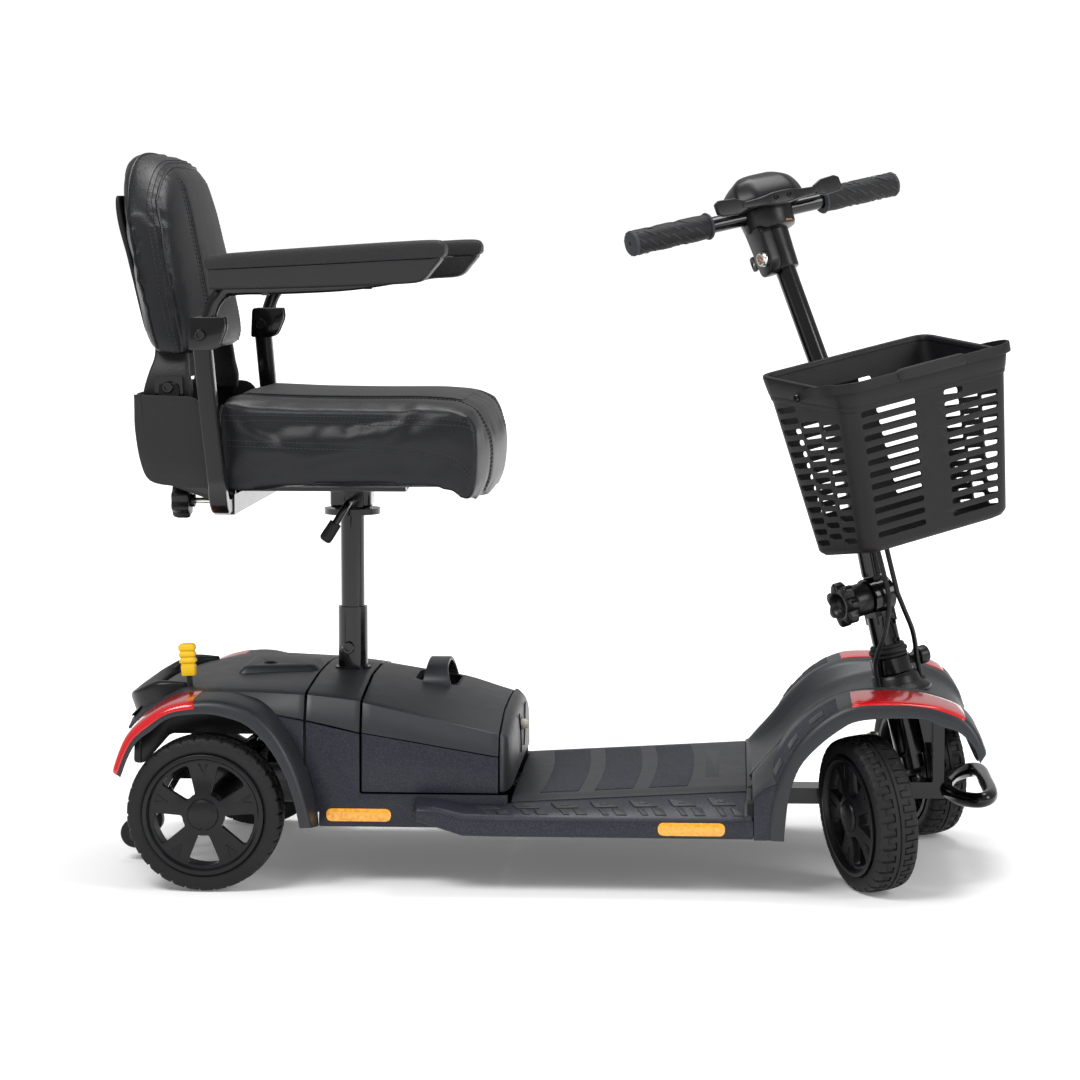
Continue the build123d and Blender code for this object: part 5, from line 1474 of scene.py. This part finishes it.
# Hand grips.
GRIP_INNER, GRIP_OUTER, GRIP_RADIUS = 0.092, 0.214, 0.0165
for side, hand in SIDES:
    body_profile = [(0.0112, GRIP_INNER + 0.003), (0.016, GRIP_INNER + 0.003),
        (GRIP_RADIUS, GRIP_INNER + 0.006)]
    for i in range(12):
        y = GRIP_INNER + 0.012 + i * (GRIP_OUTER - GRIP_INNER - 0.022) / 11
        body_profile.append((GRIP_RADIUS + 0.0006 * math.sin(i * 1.2), y))
    body_profile += [(GRIP_RADIUS, GRIP_OUTER - 0.006), (0.016, GRIP_OUTER - 0.002),
        (0.0112, GRIP_OUTER - 0.002)]
    piece(f"grip_sleeve_{hand}", along_y(ring_of(body_profile, 48), side), RUBBER, "tiller", "black_rubber",
        HEAD, replaces=["hand_grips"] if side < 0 else ())
    flange = [(0.0112, GRIP_INNER), (0.0175, GRIP_INNER), (0.0184, GRIP_INNER + 0.0015),
        (0.0176, GRIP_INNER + 0.0034), (0.0112, GRIP_INNER + 0.0034)]
    cap = [(0.0, GRIP_OUTER - 0.004), (0.0168, GRIP_OUTER - 0.004), (0.0172, GRIP_OUTER - 0.0015),
        (0.016, GRIP_OUTER + 0.0006), (0.011, GRIP_OUTER + 0.0017), (0.0028, GRIP_OUTER + 0.002),
        (0.0024, GRIP_OUTER - 0.001), (0, GRIP_OUTER - 0.0012)]
    piece(f"grip_ends_{hand}", along_y(joined(ring_of(flange, 48), lathe(cap, 48)), side), GRIP_GREY,
        "tiller", "black_rubber", HEAD)
    dashes = []
    for ring_index in range(6):
        for turn_index in range(8):
            a = math.tau * (turn_index + 0.5 * (ring_index % 2)) / 8
            y = GRIP_INNER + 0.016 + ring_index * 0.0185
            rows = []
            for step in range(7):
                share = step / 6
                angle = a + share * 0.62
                row = []
                for wide in (-0.0011, 0.0011):
                    row.append(((GRIP_RADIUS + 0.0002) * math.cos(angle),
                        (GRIP_RADIUS + 0.0002) * math.sin(angle), y + share * 0.0135 + wide))
                rows.append(row)
            dashes.append(surface(rows))
    piece(f"grip_dashes_{hand}", along_y(joined(*dashes), side), GRIP_GREY, "tiller", "black_rubber", HEAD,
        thick=0.0007)

# ---------------------------------------------------------------- column, knuckle and cables

star = []
for level, grow, deep in ((-0.044, 0.62, 0), (-0.0445, 0.92, 0.6), (-0.047, 1.0, 1), (-0.0585, 1.0, 1),
        (-0.0608, 0.95, 0.9), (-0.062, 0.82, 0.4), (-0.0618, 0.66, 0), (-0.059, 0.57, 0), (-0.054, 0.5, 0),
        (-0.051, 0.34, 0), (-0.0505, 0.01, 0)):
    row = []
    for i in range(112):
        a = math.tau * i / 112
        lobe = 0.5 + 0.5 * math.cos(7 * a)
        r = (0.0262 + 0.0046 * deep * (lobe**0.6 * 2 - 1)) * grow
        row.append(Vector((r * math.cos(a), level, FOLD_LEVEL + r * math.sin(a))))
    star.append(row)
piece("star_knob_grip", solid(star), BLACK, "tiller_knob", "black_plastic", STEER, bevel=0.0006,
      replaces=["star_knob"], angle=45)
washer = along_y(lathe([(0, 0.017), (0.02, 0.017), (0.022, 0.0185), (0.022, 0.0425), (0.02, 0.0448),
    (0, 0.0448)], 40), -1)
washer = moved(washer, at(0, 0, FOLD_LEVEL))
piece("star_knob_neck", washer, BLACK, "tiller_knob", "black_plastic", STEER, bevel=0.0006)
pin_end = along_y(lathe([(0, 0.0165), (0.0105, 0.0165), (0.0105, 0.021), (0.007, 0.0235), (0, 0.0235)], 32),
    1)
piece("fold_pin_end", moved(pin_end, at(0, 0, FOLD_LEVEL)), STEEL, "column", "frame_steel", STEER,
    bevel=0.0005)
screws = [bolt((0.0185, 0.004, level), (1, 0, 0), 0.005, 0.0035) for level in (0.035, 0.06)]
piece("column_set_screws", joined(*screws), STEEL, "column", "bare_steel", STEER)


def hoop(radius, thickness, level, count=48):
    outline = [(radius + thickness * math.cos(math.tau * i / 12), level
        + thickness * math.sin(math.tau * i / 12)) for i in range(12)]
    return ring_of(outline, count)


hoops = joined(hoop(0.0215, 0.0034, 0.015), hoop(0.0225, 0.004, 0.0215), hoop(0.0205, 0.003, 0.0275))
piece("column_boot", hoops, RUBBER, "column", "black_rubber", STEER)
flange = [(0.0225, -0.01), (0.03, -0.01), (0.033, -0.015), (0.035, -0.024), (0.044, -0.03), (0.047, -0.033),
    (0.047, -0.037), (0.0225, -0.037)]
piece("column_flange", ring_of(flange, 64), BLACK, "chassis", "black_plastic", STEER, bevel=0.0008)
plunger = [(0, 0.027), (0.007, 0.027), (0.0078, 0.029), (0.0062, 0.03), (0.0085, 0.04), (0.0098, 0.0425),
    (0.012, 0.043), (0.0125, 0.0445), (0.0125, 0.0565), (0.0115, 0.058), (0, 0.058)]
piece("plunger_knob", moved(along_y(lathe(plunger, 40), 1), at(0, 0, 0.002)), BLACK, "plunger",
    "black_plastic", STEER, bevel=0.0006, replaces=["lock_plunger"])
CABLE_RADIUS = 0.0034


def cable(name, route):
    """A control cable through points of the steering frame."""
    obj = blank(name, moved(tube(spline(route, 8), CABLE_RADIUS, 12), STEER))
    settle(obj, 60)
    obj.data.materials.append(CABLE)
    return obj


cable_guides = []
for side, hand in SIDES:
    upper = cable(f"cable_upper_{hand}", ((0.03, side * 0.01, 0.292), (0.036, side * 0.009, 0.22),
        (0.04, side * 0.007, 0.15), (0.042, side * 0.007, 0.096)))
    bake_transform(upper)
    lower = cable(f"cable_lower_{hand}", ((0.042, side * 0.007, 0.098), (0.04, side * 0.013, 0.074),
        (0.033, side * 0.023, 0.046), (0.021, side * 0.031, 0.024), (0.013, side * 0.034, 0.004),
        (0.012, side * 0.034, -0.034)))
    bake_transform(lower)
    if side < 0:
        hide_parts("tiller_cables")
    grommet = moved(ring_of([(0.003, -0.03), (0.007, -0.03), (0.0062, -0.024), (0.003, -0.022)], 24),
        at(0.012, side * 0.034, 0))
    cable_guides.append(grommet)
piece("cable_grommets", joined(*cable_guides), RUBBER, "chassis", "black_rubber", STEER)
clip = rounded([(0.0165, -0.016), (0.043, -0.015), (0.043, 0.015), (0.0165, 0.016)], 0.003)
clips = [prism(clip, u, u + 0.006, "Z") for u in (0.245, 0.17)]
piece("cable_clips", joined(*clips), BLACK, "tiller", "black_plastic", STEER, bevel=0.0008)

# ---------------------------------------------------------------- basket

BASKET_LOW, BASKET_HIGH = 0.175, 0.425
CORNER_STEPS = 7


def basket_size(u):
    """Centre along the tiller, half depth and half width of the basket at a height."""
    share = (u - BASKET_LOW) / (BASKET_HIGH - BASKET_LOW)
    return 0.119 + 0.025 * share, 0.061 + 0.034 * share, 0.114 + 0.018 * share


def rim_height(f):
    return 0.423 - (f - 0.049) * 0.04 / 0.19


def basket_outline(u_of, grow=0.0, radius=0.02):
    """The basket's outline with each point at the height that u_of gives for its place along the tiller."""
    outline = []
    centre, deep, wide = basket_size(u_of(0.14))
    corners = rectangle(2 * deep + 2 * grow, 2 * wide + 2 * grow, radius + grow, (0, 0), CORNER_STEPS)
    dense_corners = []
    for i, p in enumerate(corners):
        q = corners[(i + 1) % len(corners)]
        dense_corners.append(p)
        if (q - p).length > 0.03:
            dense_corners += [p.lerp(q, k / 6) for k in range(1, 6)]
    for p in dense_corners:
        f = centre + p.x
        for _ in range(3):
            u = u_of(f)
            new_centre, new_deep, new_wide = basket_size(u)
            f = new_centre + p.x * (new_deep + grow) / (deep + grow)
        outline.append(Vector((f, p.y * (new_wide + grow) / (wide + grow), u)))
    return outline


def level_between(share):
    return lambda f: BASKET_LOW + 0.01 + share * (rim_height(f) - BASKET_LOW - 0.01)


basket_walls = []
for shrink, u in ((0.02, 0.1765), (0.55, 0.1765), (0.86, 0.1768), (0.945, 0.1785), (0.985, 0.1825)):
    centre = basket_size(BASKET_LOW + 0.01)[0]
    outline = basket_outline(lambda f: BASKET_LOW + 0.01)
    basket_walls.append([Vector((centre + (p.x - centre) * shrink, p.y * shrink, u)) for p in outline])
basket_walls += [basket_outline(level_between(share)) for share in (0, 0.1, 0.2, 0.35, 0.5, 0.65, 0.8, 0.9,
    0.96, 1.0)]


def stadium(length, height):
    return rectangle(length, height, height * 0.49, steps=4)


slots = []
for row in range(11):
    u = 0.197 + row * 0.0157
    centre, deep, wide = basket_size(u)
    for low, high in ((-wide + 0.018, -0.022), (0.022, wide - 0.018)):
        if row == 10 and low > 0:
            high = low + 0.03
        shape = stadium(high - low, 0.0078)
        slots.append(prism([(p[0] + (low + high) / 2, p[1] + u) for p in shape], centre + deep - 0.02, centre
            + deep + 0.02, "X"))
    for low, high in ((-wide + 0.026, -0.03), (0.03, wide - 0.026)):
        if 1 < row < 10:
            shape = stadium(high - low, 0.0078)
            slots.append(prism([(p[0] + (low + high) / 2, p[1] + u + 0.004) for p in shape],
                centre - deep - 0.02, centre - deep + 0.015, "X"))
for row in range(14):
    u = 0.195 + row * 0.015
    centre, deep, wide = basket_size(u)
    for side in (-1, 1):
        back, front = centre - deep + 0.014, centre + deep - 0.018
        third = (front - back) / 3
        for column in range(3):
            shift = 0.0075 if column == 1 else 0
            low = back + column * third + 0.0015
            high = back + (column + 1) * third - 0.0025
            if u + shift > rim_height(high) - 0.034:
                continue
            outline = [(p[0] + (low + high) / 2, p[1] + u + shift) for p in stadium(high - low, 0.008)]
            slots.append(prism(outline, *sorted((side * (wide - 0.018), side * (wide + 0.018)))))
shape = stadium(0.11, 0.0085)
slots.append(prism([(p[0] - 0.02, p[1] + 0.385) for p in shape], 0.03, 0.075, "X"))
basket = blank("basket_shell", moved(surface(basket_walls, ring=True, caps=False), STEER))
modifier(basket, "SOLIDIFY", thickness=0.003, offset=0)
settle(basket)
tool = blank("cutter", moved(joined(*slots), STEER))
modifier(basket, "BOOLEAN", operation="DIFFERENCE", object=tool, solver="EXACT")
settle(basket)
bpy.data.objects.remove(tool)
modifier(basket, "BEVEL", width=0.0006, segments=1, limit_method="ANGLE", angle_limit=math.radians(50))
settle(basket, 40)
basket.data.materials.append(SOFT_BLACK)
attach(basket, "basket")
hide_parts("basket")
rim_rows = [basket_outline(level_between(share), grow) for share, grow in ((0.902, 0.001), (0.905, 0.003),
    (0.955, 0.0038), (0.995, 0.0042), (1.008, 0.0034), (1.01, 0.0008), (1.008, -0.0022), (0.985, -0.003))]
piece("basket_rim", surface(rim_rows, ring=True), SOFT_BLACK, "basket", "black_plastic", STEER, thick=0.0016,
    bevel=0.0006)
step_rows = [basket_outline(level_between(share), grow) for share, grow in ((0.868, 0.0012), (0.872, 0.0022),
    (0.905, 0.0026))]
piece("basket_rim_step", surface(step_rows, ring=True), SOFT_BLACK, "basket", "black_plastic", STEER,
    thick=0.0012, bevel=0.0004)
floor_ribs = [prism(rectangle(0.096, 0.004, 0.0015, (0.119, y)), 0.1775, 0.1815, "Z")
    for y in (-0.07, -0.035, 0, 0.035, 0.07)]
piece("basket_floor_ribs", joined(*floor_ribs), SOFT_BLACK, "basket", "black_plastic", STEER, bevel=0.0006)

PIVOT_F, PIVOT_U, BAIL_L = 0.14, 0.39, 0.1405
strap_path = there_and_back(((PIVOT_F - 0.006, -BAIL_L, PIVOT_U + 0.001), (0.17, -BAIL_L, 0.3935),
    (0.208, -0.141, 0.394), (0.23, -0.133, 0.392), (0.2395, -0.115, 0.3905), (0.241, -0.08, 0.3905),
    (0.241, 0, 0.3905)))
strap_path = spline(strap_path, 6)
piece("bail_strap", sweep(strap_path, rectangle(0.0034, 0.013, 0.0012)), SOFT_BLACK, "basket_handle",
    "black_plastic", STEER, bevel=0.0004, replaces=["basket_handle"])
grip_path = [Vector((0.2405, y, 0.3925)) for y in (-0.054, -0.05, -0.046, -0.02, 0.02, 0.046, 0.05, 0.054)]
grip_section = rounded([(-0.0065, -0.0085), (0.0065, -0.0085), (0.0068, 0.007), (-0.0068, 0.007)], 0.0045, 5)
piece("bail_grip", sweep(grip_path, grip_section, [0.55, 0.85, 1, 1.02, 1.02, 1, 0.85, 0.55]), RUBBER,
    "basket_handle", "black_rubber", STEER, bevel=0.0004)
bail_screws = [bolt((PIVOT_F, side * (BAIL_L + 0.0015), PIVOT_U), (0, side, 0), 0.0052, 0.0036)
    for side in (-1, 1)]
piece("bail_screws", joined(*bail_screws), STEEL, "basket_handle", "bare_steel", STEER)

# The front bumper: one bent hoop that leaves the frame, sweeps out and closes in front of the cowl.
hoop_path = [station(*p) for p in there_and_back((
    (0.97, 0.03, 0.102), (0.984, 0.085, 0.103), (1.004, 0.116, 0.106), (1.018, 0.108, 0.109),
    (1.0225, 0.07, 0.111), (1.0225, 0.0, 0.1115)))]
piece("bumper_hoop", tube(spline(hoop_path, 6), 0.01, 24), STEEL, "chassis", "frame_steel",
    replaces=["front_bumper"])

# ---------------------------------------------------------------- CAD pieces that keep their shape

KEPT = {STEEL: ("main_frame", "front_subframe", "steering_column", "seat_post", "seat_base", "anti_tip_frame",
    "handlebar", "tiller_tube", "knuckle_right", "knuckle_left"), BRIGHT: ("tie_rod_right", "tie_rod_left",
    "drive_shaft_right", "drive_shaft_left"), CAST: ("transaxle", "drive_motor", "motor_controller"),
    BLACK: ("anti_tip_wheels",),}
for kept_material, names in KEPT.items():
    for node_name in names:
        node = frame["nodes"][node_name]
        node.data.materials.clear()
        node.data.materials.append(kept_material)

# ---------------------------------------------------------------- floor, light and camera

FADE_START, FADE_END = 0.7, 3.0
ROOM_LIGHT, BACKDROP_LIGHT = 0.46, 1.05


def stage_material():
    """A pale floor that brightens to white away from the object, so that no horizon shows."""
    mat = bpy.data.materials.new("floor")
    mat.use_nodes = True
    nodes, links = mat.node_tree.nodes, mat.node_tree.links
    shader = nodes["Principled BSDF"]
    shader.inputs["Base Color"].default_value = (0.93, 0.93, 0.93, 1)
    shader.inputs["Roughness"].default_value = 0.7
    shader.inputs["Specular IOR Level"].default_value = 0.2
    shader.inputs["Emission Color"].default_value = (1, 1, 1, 1)
    length = nodes.new("ShaderNodeVectorMath")
    length.operation = "LENGTH"
    links.new(nodes.new("ShaderNodeTexCoord").outputs["Object"], length.inputs[0])
    fade = nodes.new("ShaderNodeMapRange")
    fade.inputs["From Min"].default_value = FADE_START
    fade.inputs["From Max"].default_value = FADE_END
    fade.inputs["To Min"].default_value = 0.12
    fade.inputs["To Max"].default_value = 1.0
    links.new(length.outputs["Value"], fade.inputs["Value"])
    links.new(fade.outputs["Result"], shader.inputs["Emission Strength"])
    return mat


FLOOR_HALF = 60.0
floor_rows = []
for i in range(9):
    y = FLOOR_HALF * (i / 4 - 1)
    floor_rows.append([(FLOOR_HALF * (j / 4 - 1), y, 0) for j in range(9)])
floor = blank("floor", surface(floor_rows))
floor.data.materials.append(stage_material())

world = bpy.data.worlds.new("studio")
bpy.context.scene.world = world
world.use_nodes = True
backdrop = world.node_tree.nodes["Background"]
backdrop.inputs["Color"].default_value = (1, 1, 1, 1)
strength = world.node_tree.nodes.new("ShaderNodeMapRange")
strength.inputs["To Min"].default_value = ROOM_LIGHT
strength.inputs["To Max"].default_value = BACKDROP_LIGHT
light_path = world.node_tree.nodes.new("ShaderNodeLightPath")
world.node_tree.links.new(light_path.outputs["Is Camera Ray"], strength.inputs["Value"])
world.node_tree.links.new(strength.outputs["Result"], backdrop.inputs["Strength"])


def area_light(name, spot, target, size, power):
    data = bpy.data.lights.new(name, "AREA")
    data.shape = "RECTANGLE"
    data.size, data.size_y = size
    data.energy = power
    light = bpy.data.objects.new(name, data)
    bpy.context.scene.collection.objects.link(light)
    light.location = spot
    light.rotation_euler = (Vector(target) - Vector(spot)).to_track_quat("-Z", "Y").to_euler()
    return light


area_light("key", (-1.4, -2.2, 3.0), (0.0, 0, 0.4), (1.8, 1.2), 92)
area_light("top", (0.3, 0.6, 3.2), (0.0, 0, 0.2), (2.2, 1.2), 70)
area_light("side", (3.0, -1.6, 1.8), (0.2, 0, 0.4), (1.2, 1.6), 48)

LENS_MM, TILT_DOWN, PAN_LEFT = 106.0, 5.46, 3.49
camera_data = bpy.data.cameras.new("camera")
camera_data.lens = LENS_MM
camera_data.sensor_width = 36.0
camera = bpy.data.objects.new("camera", camera_data)
camera.location = (REAR_AXLE_X + 0.68, -4.27, 0.844)
camera.rotation_euler = (math.radians(90 - TILT_DOWN), 0, math.radians(PAN_LEFT))
bpy.context.scene.collection.objects.link(camera)
bpy.context.scene.camera = camera
bpy.context.scene.view_settings.view_transform = "Standard"
